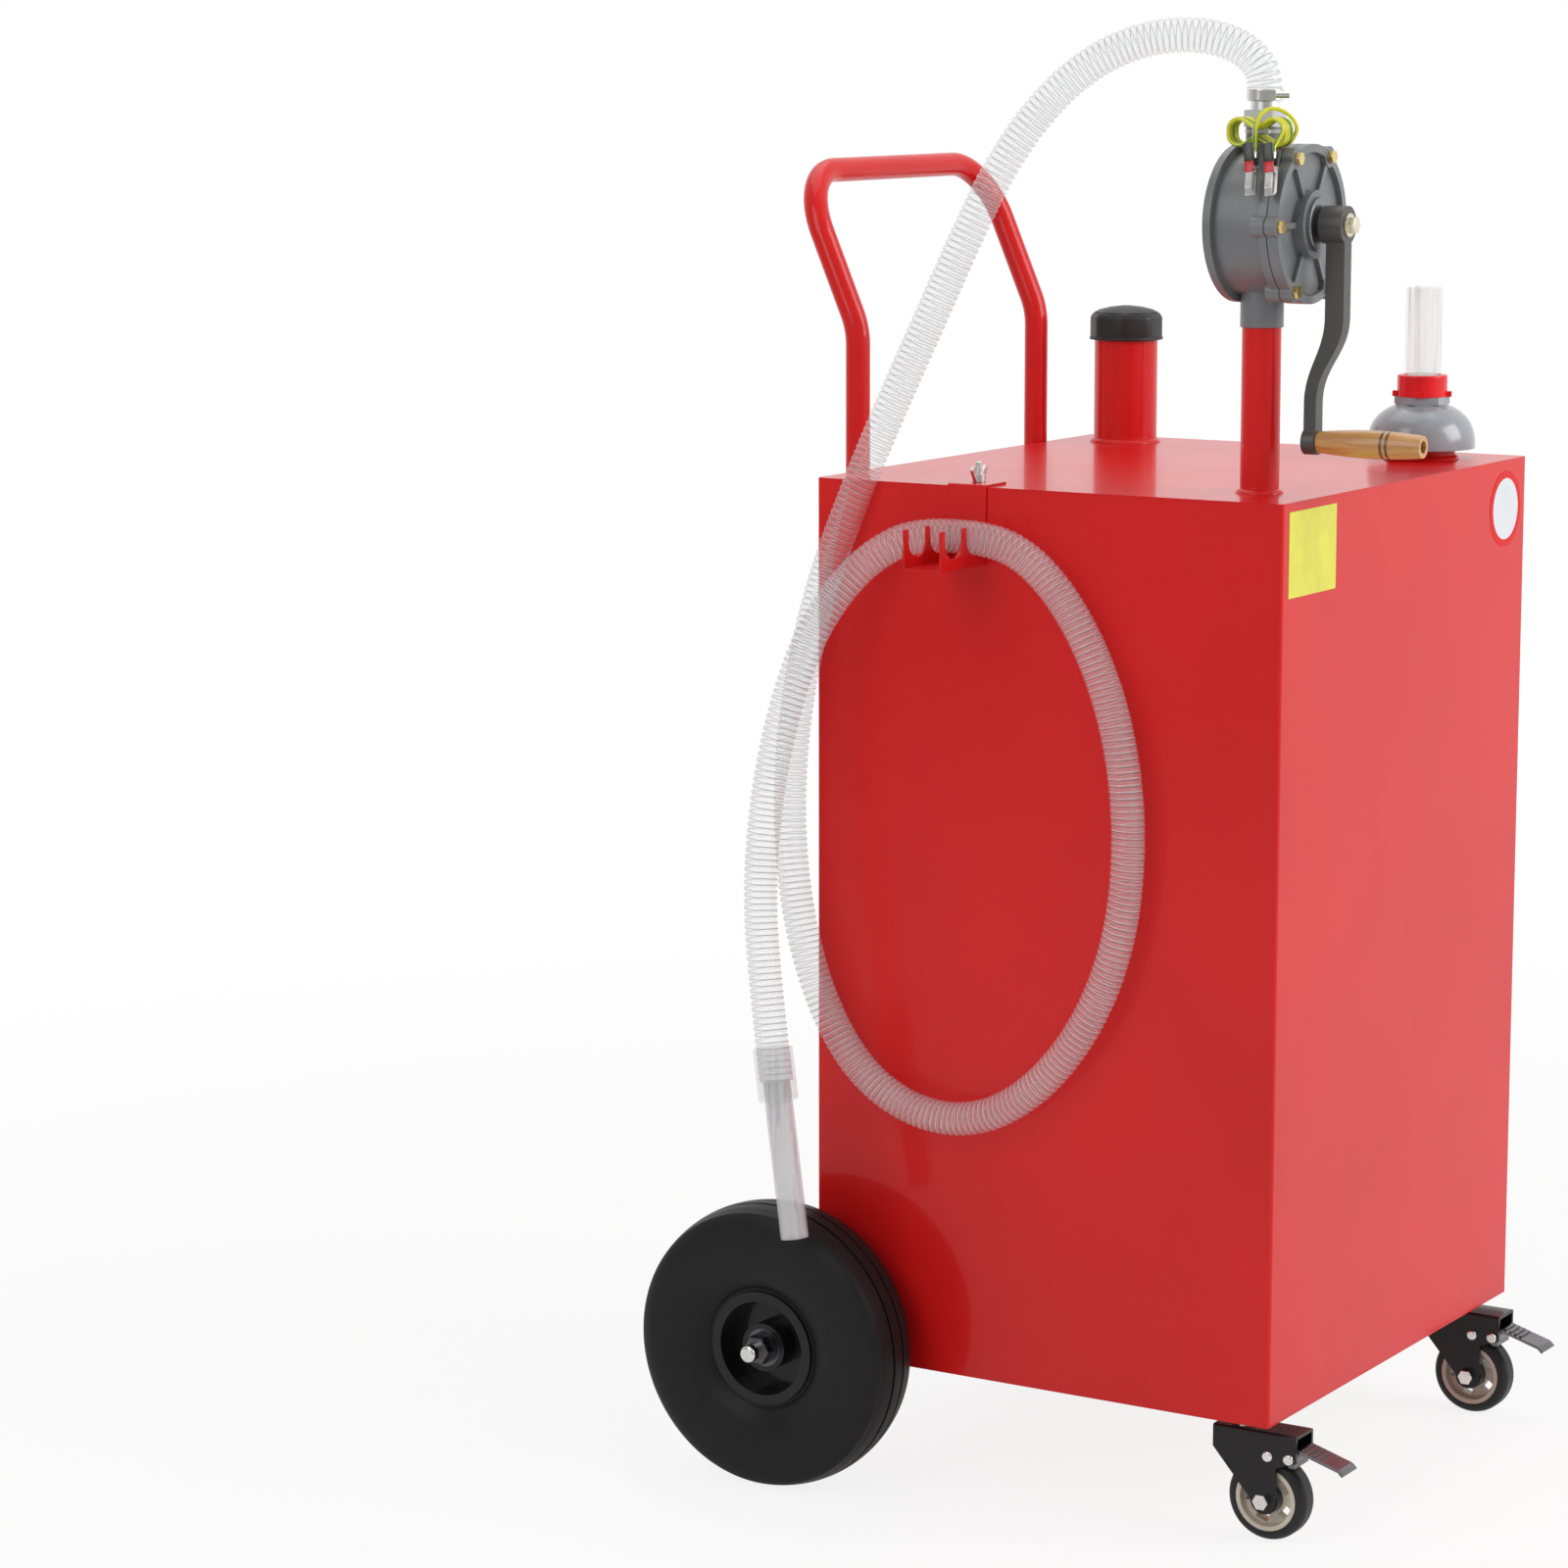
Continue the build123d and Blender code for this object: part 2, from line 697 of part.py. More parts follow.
# Hose hook: a strip over the tank's edge and a trough with two saddles in each flange
wall_x = -half_width
strip_x = wall_x - hook_sheet
prong_x = wall_x - hook_reach
hook_centre_y = tank_y + hook_y
hook_front_y = hook_centre_y - hook_width / 2
hook_rear_y = hook_centre_y + hook_width / 2
hook_floor_z = tank_top - hook_drop
flange_top_z = hook_floor_z + hook_flange_height
saddle_z = hook_floor_z + saddle_floor + saddle_radius
saddle_places = [(strip_x - saddle_inset, saddle_z), (strip_x - saddle_inset - saddle_pitch, saddle_z)]
stud_x = wall_x + stud_inset
with BuildPart() as hook_bracket:
    with BuildSketch(facing_front(0, hook_rear_y, 0)):
        with BuildLine():
            Polyline(
                (wall_x + hook_flange, tank_top),
                (wall_x + hook_flange, tank_top + hook_sheet),
                (strip_x, tank_top + hook_sheet),
                (strip_x, hook_floor_z + hook_sheet),
                (prong_x, hook_floor_z + hook_sheet),
                (prong_x, hook_floor_z),
                (wall_x, hook_floor_z),
                (wall_x, tank_top),
                close=True,
            )
        make_face()
    extrude(amount=hook_width)
    for flange_y in (hook_rear_y, hook_front_y + hook_sheet):
        with BuildSketch(facing_front(0, flange_y, 0)):
            with Locations(((prong_x + strip_x) / 2, hook_floor_z)):
                Rectangle(strip_x - prong_x, hook_flange_height, align=(Align.CENTER, Align.MIN))
            with Locations(*saddle_places):
                Circle(saddle_radius, mode=Mode.SUBTRACT)
                Rectangle(
                    2 * saddle_radius,
                    hook_flange_height,
                    align=(Align.CENTER, Align.MIN),
                    mode=Mode.SUBTRACT,
                )
        extrude(amount=hook_sheet)
    stud_plane = facing_up(stud_x, hook_centre_y, tank_top - overrun)
    bar(stud_plane, stud_radius + running_gap, 2 * overrun, Mode.SUBTRACT)
    bend_top = (strip_x, hook_centre_y, tank_top + hook_sheet)
    outer_bend = hook_bracket.edges().filter_by(Axis.Y).sort_by_distance(bend_top)
    fillet(outer_bend[0], hook_sheet * edge_round_share)
    prong_tips = hook_bracket.edges().filter_by(Axis.Y).filter_by_position(
        Axis.Z, flange_top_z - running_gap, flange_top_z + running_gap
    )
    free_tips = prong_tips.filter_by_position(Axis.X, prong_x - running_gap, strip_x - running_gap)
    fillet(free_tips, hook_sheet / 2)
save(hook_bracket, "hook_bracket")

with BuildPart() as hook_stud:
    bar(facing_up(stud_x, hook_centre_y, tank_top), stud_radius, stud_height)
    chamfer(hook_stud.edges().group_by(Axis.Z)[-1], stud_radius / 4)
save(hook_stud, "hook_stud")

wing_hub_z = tank_top + hook_sheet + seat_gap
wing_outline = (
    (0, wing_hub_height / 4),
    (wing_hub_radius, 0),
    (wing_span / 2, wing_height - wing_sheet),
    (wing_span / 2 - wing_sheet, wing_height),
    (0, wing_hub_height / 2),
)
with BuildPart() as wing_nut:
    bar(facing_up(stud_x, hook_centre_y, wing_hub_z), wing_hub_radius, wing_hub_height)
    with BuildSketch(facing_front(stud_x, hook_centre_y + wing_sheet / 2, wing_hub_z)):
        Polygon(*wing_outline, align=None)
        mirror(about=Plane.YZ)
    extrude(amount=wing_sheet)
    wing_tips = wing_nut.edges().filter_by(Axis.Y).filter_by_position(
        Axis.Z, wing_hub_z + wing_hub_height + running_gap, wing_hub_z + wing_height + running_gap
    )
    fillet(wing_tips, wing_sheet / 3)
    bar(facing_up(stud_x, hook_centre_y, tank_top), stud_radius + running_gap, stud_height, Mode.SUBTRACT)
save(wing_nut, "wing_nut")

# Pipes welded to the tank's top
for name, x, y, radius, wall, height in (
    ("riser_pipe", riser_x, riser_y, riser_radius, riser_wall, riser_height),
    ("fill_neck", fill_x, fill_y, fill_radius, fill_wall, fill_height),
    ("gauge_neck", gauge_x, gauge_y, gauge_neck_radius, gauge_neck_wall, gauge_neck_height),
):
    with BuildPart() as pipe:
        tube(facing_up(x, y, tank_top), radius, radius - wall, height)
        weld_bead(x, y, tank_top, radius)
    save(pipe, name)

# Fill cap: a faceted skirt with a low dome, and the seal inside it
seal_z = tank_top + fill_height + seat_gap
cap_roof_z = seal_z + seal_height
cap_foot_z = cap_roof_z - cap_skirt
cap_inner = fill_radius + cap_gap
cap_outer = cap_inner + cap_wall
with BuildPart() as cap_gasket:
    tube(facing_up(fill_x, fill_y, seal_z), fill_radius, fill_radius - fill_wall, seal_height)
save(cap_gasket, "cap_gasket")

with BuildPart() as fill_cap:
    with BuildSketch(facing_up(fill_x, fill_y, cap_foot_z)):
        RegularPolygon(cap_outer, cap_side_count, major_radius=False)
    extrude(amount=cap_skirt + cap_wall)
    dome_plane = facing_front(fill_x, fill_y, cap_roof_z + cap_wall)
    with BuildSketch(dome_plane):
        with BuildLine():
            Polyline((0, cap_dome), (0, 0), (cap_outer, 0))
            ThreePointArc((cap_outer, 0), (cap_outer * edge_round_share, cap_dome / 2), (0, cap_dome))
        make_face()
    revolve(axis=Axis(dome_plane.origin, (0, 0, 1)))
    bar(facing_up(fill_x, fill_y, cap_foot_z), cap_outer + cap_flange, cap_flange_height)
    bar(facing_up(fill_x, fill_y, cap_foot_z), cap_inner, cap_skirt, Mode.SUBTRACT)
save(fill_cap, "fill_cap")

# Pump body: a drum on its side, with the inlet socket below and the outlet neck above
pump_rear = riser_y + pump_rear_y
pump_front = riser_y - pump_front_y
socket_z = tank_top + riser_height - neck_socket_depth
bolt_reach = cover_bolt_length - cover_rim - cover_plate - gasket_thickness
lug_depth = bolt_reach + cover_lug_floor
chamber_back = pump_rear - pump_rear_wall
with BuildPart() as pump_body:
    bar(facing_front(riser_x, pump_rear, pump_z), pump_drum_radius, pump_rear - pump_front)
    bar(facing_front(riser_x, pump_rear, pump_z), pump_flange_radius, pump_flange_thickness)
    fillet(pump_body.edges().filter_by(GeomType.CIRCLE).group_by(Axis.Y)[-1], pump_flange_thickness / 4)
    flange_plane = facing_front(riser_x, pump_front + pump_flange_thickness, pump_z)
    bar(flange_plane, pump_flange_radius, pump_flange_thickness)
    with BuildSketch(facing_front(riser_x, pump_front + lug_depth, pump_z)):
        with PolarLocations(cover_bolt_circle, cover_bolt_count):
            Circle(cover_lug_radius)
    extrude(amount=lug_depth)
    bar(facing_up(riser_x, riser_y, socket_z), neck_radius, pump_z - socket_z)
    bar(facing_up(riser_x, riser_y, pump_z), outlet_neck_radius, outlet_height - collar_height)
    with BuildSketch(facing_up(riser_x, riser_y, outlet_z - collar_height)):
        RectangleRounded(collar_side, collar_side, collar_corner)
    extrude(amount=collar_height)
    chamber_plane = facing_front(riser_x, chamber_back, pump_z + pump_bore_offset)
    bar(chamber_plane, pump_bore_radius, chamber_back - pump_front, Mode.SUBTRACT)
    bar(facing_up(riser_x, riser_y, socket_z), riser_radius + running_gap, neck_socket_depth, Mode.SUBTRACT)
    bar(facing_up(riser_x, riser_y, socket_z), passage_radius, outlet_z - socket_z, Mode.SUBTRACT)
    barb_plane = facing_up(riser_x, riser_y, outlet_z - barb_seat)
    bar(barb_plane, barb_radius + running_gap, barb_seat, Mode.SUBTRACT)
    with BuildSketch(facing_front(riser_x, pump_front + bolt_reach + seat_gap, pump_z)):
        with PolarLocations(cover_bolt_circle, cover_bolt_count):
            Circle(cover_bolt_radius + running_gap)
    extrude(amount=bolt_reach + seat_gap, mode=Mode.SUBTRACT)
save(pump_body, "pump_body")

with BuildPart() as cover_gasket:
    with BuildSketch(facing_front(riser_x, pump_front, pump_z)):
        Circle(pump_flange_radius)
        with PolarLocations(cover_bolt_circle, cover_bolt_count):
            Circle(cover_lug_radius)
        with PolarLocations(cover_bolt_circle, cover_bolt_count):
            Circle(cover_bolt_radius + running_gap, mode=Mode.SUBTRACT)
        with Locations((0, pump_bore_offset)):
            Circle(pump_bore_radius, mode=Mode.SUBTRACT)
    extrude(amount=gasket_thickness)
save(cover_gasket, "cover_gasket")

# Pump cover: a plate with a raised rim, six ribs out to its lugs and a stepped boss
cover_back = pump_front - gasket_thickness
cover_face = cover_back - cover_plate
rim_face = cover_face - cover_rim
boss_face = rim_face - cover_boss_height
packing_face = boss_face - packing_height
with BuildPart() as pump_cover:
    with BuildSketch(facing_front(riser_x, cover_back, pump_z)):
        Circle(pump_flange_radius)
        with PolarLocations(cover_bolt_circle, cover_bolt_count):
            Circle(cover_lug_radius)
    extrude(amount=cover_plate + cover_rim)
    recess_radius = pump_flange_radius - cover_rim_width
    bar(facing_front(riser_x, cover_face, pump_z), recess_radius, cover_rim, Mode.SUBTRACT)
    with BuildSketch(facing_front(riser_x, cover_face, pump_z)):
        with PolarLocations(recess_radius / 2, cover_bolt_count):
            Rectangle(recess_radius + cover_rib_width, cover_rib_width)
    extrude(amount=cover_rib_height)
    with BuildSketch(facing_front(riser_x, rim_face, pump_z)):
        with PolarLocations(cover_bolt_circle, cover_bolt_count):
            Circle(cover_lug_radius)
    extrude(amount=-cover_rim)
    bar(facing_front(riser_x, cover_face, pump_z), cover_boss_radius, cover_rim + cover_boss_height)
    bar(facing_front(riser_x, cover_back, pump_z), shaft_radius + running_gap, pump_front_y, Mode.SUBTRACT)
    spigot_plane = facing_front(riser_x, rim_face, pump_z)
    bar(spigot_plane, packing_spigot_radius + running_gap, pump_front_y, Mode.SUBTRACT)
    with BuildSketch(facing_front(riser_x, cover_back, pump_z)):
        with PolarLocations(cover_bolt_circle, cover_bolt_count):
            Circle(cover_bolt_radius + running_gap)
    extrude(amount=pump_front_y, mode=Mode.SUBTRACT)
save(pump_cover, "pump_cover")

with BuildPart() as cover_bolts:
    with BuildSketch(facing_front(riser_x, rim_face, pump_z)):
        with PolarLocations(cover_bolt_circle, cover_bolt_count):
            RegularPolygon(cover_bolt_flats / 2, hex_sides, major_radius=False)
    extrude(amount=cover_bolt_head)
    with BuildSketch(facing_front(riser_x, rim_face + cover_bolt_length, pump_z)):
        with PolarLocations(cover_bolt_circle, cover_bolt_count):
            Circle(cover_bolt_radius)
    extrude(amount=cover_bolt_length)
save(cover_bolts, "cover_bolts")

with BuildPart() as packing_nut:
    packing_bore = shaft_radius + running_gap
    tube(spigot_plane, packing_spigot_radius, packing_bore, rim_face - packing_face)
    tube(facing_front(riser_x, boss_face, pump_z), packing_radius, packing_bore, packing_height)
    rims = packing_nut.edges().filter_by(GeomType.CIRCLE).group_by(Axis.Y)[0].sort_by(SortBy.RADIUS)
    chamfer(rims[-1], packing_height / 4)
save(packing_nut, "packing_nut")

# Rotor and shaft in one piece, with sliding vanes in its slots
rotor_back = chamber_back - rotor_gap
rotor_length = rotor_back - cover_back - rotor_gap
crank_back = packing_face - crank_boss_gap
crank_face = crank_back - crank_boss_length
slot_depth = vane_depth + vane_slot_floor
with BuildPart() as pump_rotor:
    with BuildSketch(facing_front(riser_x, rotor_back, pump_z)):
        Circle(rotor_radius)
        with PolarLocations(rotor_radius - slot_depth / 2, vane_count, start_angle=vane_start_angle):
            Rectangle(slot_depth, vane_thickness + 2 * running_gap, mode=Mode.SUBTRACT)
    extrude(amount=rotor_length)
    bar(facing_front(riser_x, rotor_back, pump_z), shaft_radius, rotor_back - crank_face)
save(pump_rotor, "pump_rotor")

with BuildPart() as vanes:
    with BuildSketch(facing_front(riser_x, rotor_back, pump_z)):
        with PolarLocations(rotor_radius - vane_depth / 2, vane_count, start_angle=vane_start_angle):
            Rectangle(vane_depth, vane_thickness)
    extrude(amount=rotor_length)
save(vanes, "vanes")

# Outlet barb, suction tube and strainer
with BuildPart() as outlet_barb:
    barb_length = barb_seat + hose_stand + barb_grip
    tube(facing_up(riser_x, riser_y, outlet_z - barb_seat), barb_radius, barb_bore_radius, barb_length)
    top_rims = outlet_barb.edges().group_by(Axis.Z)[-1].sort_by(SortBy.RADIUS)
    chamfer(top_rims[-1], wall_sheet)
save(outlet_barb, "outlet_barb")

suction_top = tank_top + riser_height - seat_gap
strainer_z = tank_clearance + end_plate + suction_floor_gap
suction_foot = strainer_z + strainer_length
suction_bore = suction_radius - suction_wall
with BuildPart() as suction_tube:
    tube(facing_up(riser_x, riser_y, suction_foot), suction_radius, suction_bore, suction_top - suction_foot)
    collar_radius = riser_radius - riser_wall - running_gap
    tube(facing_up(riser_x, riser_y, suction_top - weld_leg), collar_radius, suction_bore, weld_leg)
save(suction_tube, "suction_tube")

with BuildPart() as strainer:
    bar(facing_up(riser_x, riser_y, strainer_z), strainer_radius, strainer_length)
    hollow_plane = facing_up(riser_x, riser_y, strainer_z + wall_sheet)
    bar(hollow_plane, strainer_radius - wall_sheet, strainer_length - 2 * wall_sheet, Mode.SUBTRACT)
    bar(hollow_plane, suction_bore, strainer_length, Mode.SUBTRACT)
    slot_height = strainer_length * strainer_slot_share
    with BuildSketch(facing_up(riser_x, riser_y, strainer_z + (strainer_length - slot_height) / 2)):
        with PolarLocations(strainer_radius, strainer_slot_count):
            Rectangle(4 * wall_sheet, strainer_slot_width)
    extrude(amount=slot_height, mode=Mode.SUBTRACT)
save(strainer, "strainer")

# Worm drive clamp round the hose's end
band_z = hose_start_z + clamp_rise
band_inner = hose_radius + running_gap
band_outer = band_inner + clamp_band
clamp_out = Vector(math.sin(math.radians(clamp_azimuth)), -math.cos(math.radians(clamp_azimuth)), 0)
clamp_along = Vector(-clamp_out.Y, clamp_out.X, 0)
band_centre = Vector(riser_x, riser_y, band_z + clamp_width / 2)
with BuildPart() as hose_clamp:
    tube(facing_up(riser_x, riser_y, band_z), band_outer, band_inner, clamp_width)
    box_foot = band_centre + clamp_out * (band_inner + running_gap)
    with BuildSketch(Plane(origin=box_foot, x_dir=clamp_along, z_dir=clamp_out)):
        Rectangle(clamp_box_length, clamp_box_height)
    extrude(amount=clamp_box_depth)
    bar(facing_up(riser_x, riser_y, band_z - overrun), band_inner, clamp_width + 2 * overrun, Mode.SUBTRACT)
    screw_centre = band_centre + clamp_out * (band_outer + clamp_box_depth / 2)
    screw_plane = Plane(origin=screw_centre, x_dir=(0, 0, 1), z_dir=clamp_along)
    bar(screw_plane, clamp_screw_radius, clamp_screw_length)
save(hose_clamp, "hose_clamp")

# Crank arm: a casting that steps back towards the tank
arm_end_z = pump_z - crank_radius
step_start_z = pump_z - crank_radius * crank_step_start_share
step_end_z = pump_z - crank_radius * crank_step_end_share
end_face = crank_face + crank_step
end_back = end_face + crank_tip_thickness
root_back = crank_face + crank_root_thickness
with BuildPart() as crank_arm:
    with BuildSketch(facing_x(riser_x - crank_width / 2, 0, 0)):
        with BuildLine():
            Line((root_back, pump_z), (crank_face, pump_z))
            Line((crank_face, pump_z), (crank_face, step_start_z))
            Spline((crank_face, step_start_z), (end_face, step_end_z), tangents=((0, -1), (0, -1)))
            Line((end_face, step_end_z), (end_face, arm_end_z))
            Line((end_face, arm_end_z), (end_back, arm_end_z))
            Line((end_back, arm_end_z), (end_back, step_end_z))
            Spline((end_back, step_end_z), (root_back, step_start_z), tangents=((0, 1), (0, 1)))
            Line((root_back, step_start_z), (root_back, pump_z))
        make_face()
    extrude(amount=crank_width)
    bar(facing_front(riser_x, crank_back, pump_z), crank_boss_radius, crank_boss_length)
    bar(facing_front(riser_x, end_face + crank_end_length, arm_end_z), crank_end_radius, crank_end_length)
    boss_plane = facing_front(riser_x, crank_back, pump_z)
    bar(boss_plane, shaft_radius + running_gap, crank_boss_length, Mode.SUBTRACT)
    pin_hole_plane = facing_front(riser_x, end_face + crank_end_length, arm_end_z)
    bar(pin_hole_plane, grip_pin_radius + running_gap, crank_end_length, Mode.SUBTRACT)
save(crank_arm, "crank_arm")

# Washer and bolt on the shaft's end, and the shouldered pin that the grip turns on
grip_near = end_face - seat_gap
grip_far = grip_near - grip_length
grip_bore_floor = grip_far + grip_bore_depth
pin_start = end_face + crank_end_length
with BuildPart() as crank_fasteners:
    washer_plane = facing_front(riser_x, crank_face, pump_z)
    bar(washer_plane, crank_washer_radius, crank_washer)
    nut(washer_plane.offset(crank_washer), crank_bolt_flats, 0, crank_bolt_head)
    bar(facing_front(riser_x, pin_start, arm_end_z), grip_pin_radius, pin_start - grip_bore_floor + seat_gap)
    bar(facing_front(riser_x, grip_bore_floor - seat_gap, arm_end_z), grip_pin_head_radius, grip_pin_head)
save(crank_fasteners, "crank_fasteners")

# Turned wooden grip with a bored end
with BuildPart() as grip:
    with BuildSketch(Plane(origin=(riser_x, grip_near, arm_end_z), x_dir=(0, -1, 0), z_dir=(1, 0, 0))):
        with BuildLine():
            Polyline((grip_length, grip_end_radius), (grip_length, 0), (0, 0), (0, grip_near_radius))
            belly = (grip_length * grip_belly_share, grip_belly_radius)
            ThreePointArc((0, grip_near_radius), belly, (grip_length, grip_end_radius))
        make_face()
    revolve(axis=Axis((riser_x, grip_near, arm_end_z), (0, 1, 0)))
    grip_bore_plane = facing_front(riser_x, grip_near, arm_end_z)
    bar(grip_bore_plane, grip_pin_radius + running_gap, grip_length, Mode.SUBTRACT)
    bar(facing_front(riser_x, grip_bore_floor, arm_end_z), grip_bore_radius, grip_bore_depth, Mode.SUBTRACT)
save(grip, "grip")

# Level gauge: dome, ring nut, clear tube and a float on a rod
dome_z = tank_top + gauge_lift
dome_top_z = dome_z + gauge_dome_height
hex_top_z = dome_top_z + gauge_hex_height
ring_top_z = hex_top_z + gauge_nut_height
tube_top_z = ring_top_z + gauge_tube_height
tube_bore = gauge_tube_radius - gauge_tube_wall
flange_radius = gauge_tube_radius + gauge_tube_flange
with BuildPart() as gauge_dome:
    with BuildSketch(facing_front(gauge_x, gauge_y, dome_z)):
        with BuildLine():
            Line((gauge_hex_flats / 2, gauge_dome_height), (0, gauge_dome_height))
            Polyline((0, gauge_dome_height), (0, 0), (gauge_dome_radius, 0))
            Line((gauge_dome_radius, 0), (gauge_dome_radius, gauge_rim))
            Spline(
                (gauge_dome_radius, gauge_rim),
                (gauge_hex_flats / 2, gauge_dome_height),
                tangents=((0, 1), (-1, 0.35)),
            )
        make_face()
    revolve(axis=Axis((gauge_x, gauge_y, dome_z), (0, 0, 1)))
    with BuildSketch(facing_up(gauge_x, gauge_y, dome_top_z)):
        RegularPolygon(gauge_hex_flats / 2, hex_sides, major_radius=False)
    extrude(amount=gauge_hex_height)
    socket_depth = gauge_neck_height - gauge_lift + seat_gap
    bar(facing_up(gauge_x, gauge_y, dome_z), gauge_neck_radius + running_gap, socket_depth, Mode.SUBTRACT)
    bar(facing_up(gauge_x, gauge_y, dome_z), tube_bore, hex_top_z - dome_z, Mode.SUBTRACT)
save(gauge_dome, "gauge_dome")

with BuildPart() as gauge_nut:
    bar(facing_up(gauge_x, gauge_y, hex_top_z), gauge_nut_radius, gauge_nut_height)
    fillet(gauge_nut.edges().group_by(Axis.Z)[-1], gauge_tube_wall)
    with BuildSketch(facing_up(gauge_x, gauge_y, hex_top_z)):
        with PolarLocations(gauge_tab_radius / 2, gauge_tab_count, start_angle=gauge_tab_angle):
            Rectangle(gauge_tab_radius, gauge_tab_width)
    extrude(amount=gauge_tab_height)
    ring_bore = gauge_tube_radius + gauge_rib_radius + running_gap
    bar(facing_up(gauge_x, gauge_y, hex_top_z), ring_bore, gauge_nut_height, Mode.SUBTRACT)
    flange_seat = gauge_tube_flange + seat_gap
    bar(facing_up(gauge_x, gauge_y, hex_top_z), flange_radius + running_gap, flange_seat, Mode.SUBTRACT)
save(gauge_nut, "gauge_nut")

with BuildPart() as gauge_tube:
    bar(facing_up(gauge_x, gauge_y, hex_top_z), gauge_tube_radius, tube_top_z - hex_top_z)
    bar(facing_up(gauge_x, gauge_y, hex_top_z), flange_radius, gauge_tube_flange)
    with BuildSketch(facing_up(gauge_x, gauge_y, ring_top_z)):
        with PolarLocations(gauge_tube_radius, gauge_rib_count):
            Circle(gauge_rib_radius)
    extrude(amount=gauge_tube_height - gauge_tube_wall)
    tube_depth = tube_top_z - hex_top_z - gauge_tube_wall
    bar(facing_up(gauge_x, gauge_y, hex_top_z), tube_bore, tube_depth, Mode.SUBTRACT)
save(gauge_tube, "gauge_tube")

rod_top_z = ring_top_z - gauge_disc_height
float_top_z = tank_top - float_drop
with BuildPart() as gauge_float:
    bar(facing_up(gauge_x, gauge_y, float_top_z - float_height), float_radius, float_height)
    round_ends(gauge_float, Axis.Z, gauge_disc_height)
    bar(facing_up(gauge_x, gauge_y, float_top_z), gauge_rod_radius, rod_top_z - float_top_z)
    bar(facing_up(gauge_x, gauge_y, rod_top_z), gauge_disc_radius, gauge_disc_height)
save(gauge_float, "gauge_float")

# Hose: up out of the pump, down the tank's side, round its loop, through the hook and down again
hose_points = [
    (riser_x, riser_y, hose_start_z),
    (riser_x, riser_y, 1260),
    (-182, -184, 1277),
    (-187, -164, 1291),
    (-195, -128, 1298),
    (-206, -83, 1292),
    (-217, -38, 1269),
    (-227, 1, 1231),
    (-236, 34, 1181),
    (-243, 62, 1122),
    (-250, 92, 1054),
    (-258, 124, 982),
    (-266, 156, 906),
    (-272, 183, 834),
    (-276, 203, 762),
    (-278.5, 215, 690),
    (-278.5, 220, 625),
    (-278.5, 217, 557),
    (-278.5, 204, 490),
    (-278.5, 178, 425),
    (-278.5, 138, 375),
    (-278.5, 84, 350),
    (-278.5, 28, 351),
    (-278.5, -22, 377),
    (-278.5, -66, 423),
    (-278.5, -98, 479),
    (-278.5, -117, 541),
    (-278.5, -123, 609),
    (-278.5, -118, 676),
    (-278.5, -101, 743),
    (-278.5, -70, 804),
    (-278.5, -31, 848),
    (-278.5, 11, 868.4),
    (-278.5, 87, 868.4),
    (-282, 126, 851),
    (-296, 154, 821),
    (-314, 176, 778),
    (-331, 191, 717),
    (-344, 201, 646),
    (-353, 204, 571),
    (-358, 199, 495),
    (-363, 181, 386),
]


def corner_radii(points):
    # Each arc is 0.45 of its shorter run over the tangent of half the turn.
    arc_share = 0.45
    radii = []
    for before, here, after in zip(points, points[1:], points[2:]):
        run_in = Vector(here) - Vector(before)
        run_out = Vector(after) - Vector(here)
        half_turn = math.radians(run_in.get_angle(run_out)) / 2
        radii.append(arc_share * min(run_in.length, run_out.length) / math.tan(half_turn))
    return radii


hose_radii = corner_radii(hose_points)
with BuildPart() as hose:
    with BuildLine() as hose_line:
        FilletPolyline(*hose_points, radius=hose_radii)
    with BuildSketch(facing_up(*hose_points[0])):
        Circle(hose_radius)
        Circle(hose_bore_radius, mode=Mode.SUBTRACT)
    sweep()
save(hose, "hose")
hose_length = hose_line.wires()[0].length
hose_section = math.pi * (hose_radius**2 - hose_bore_radius**2)
print(f"hose length {hose_length:.0f}, volume share {hose.part.volume / (hose_section * hose_length):.4f}")
print("hose radii", [round(radius) for radius in hose_radii])

# Cuff and nozzle tube on the hose's end
hose_tip = Vector(*hose_points[-1])
tip_dir = (hose_tip - Vector(*hose_points[-2])).normalized()
cuff_plane = Plane(origin=hose_tip - tip_dir * cuff_grip, z_dir=tip_dir)
with BuildPart() as hose_cuff:
    bar(cuff_plane, cuff_radius, cuff_length)
    round_ends(hose_cuff, Axis(cuff_plane.origin, cuff_plane.z_dir), cuff_lip)
    bar(cuff_plane, hose_radius + running_gap, cuff_grip + seat_gap, Mode.SUBTRACT)
    bar(cuff_plane, nozzle_seat_radius + running_gap, cuff_length, Mode.SUBTRACT)
save(hose_cuff, "hose_cuff")

with BuildPart() as nozzle_tube:
    seat_plane = Plane(origin=hose_tip + tip_dir * seat_gap, z_dir=tip_dir)
    free_plane = seat_plane.offset(nozzle_seat_length)
    nozzle_bore = nozzle_radius - nozzle_wall
    tube(seat_plane, nozzle_seat_radius, nozzle_bore, nozzle_seat_length)
    tube(free_plane, nozzle_radius, nozzle_bore, nozzle_length - nozzle_seat_length)
save(nozzle_tube, "nozzle_tube")

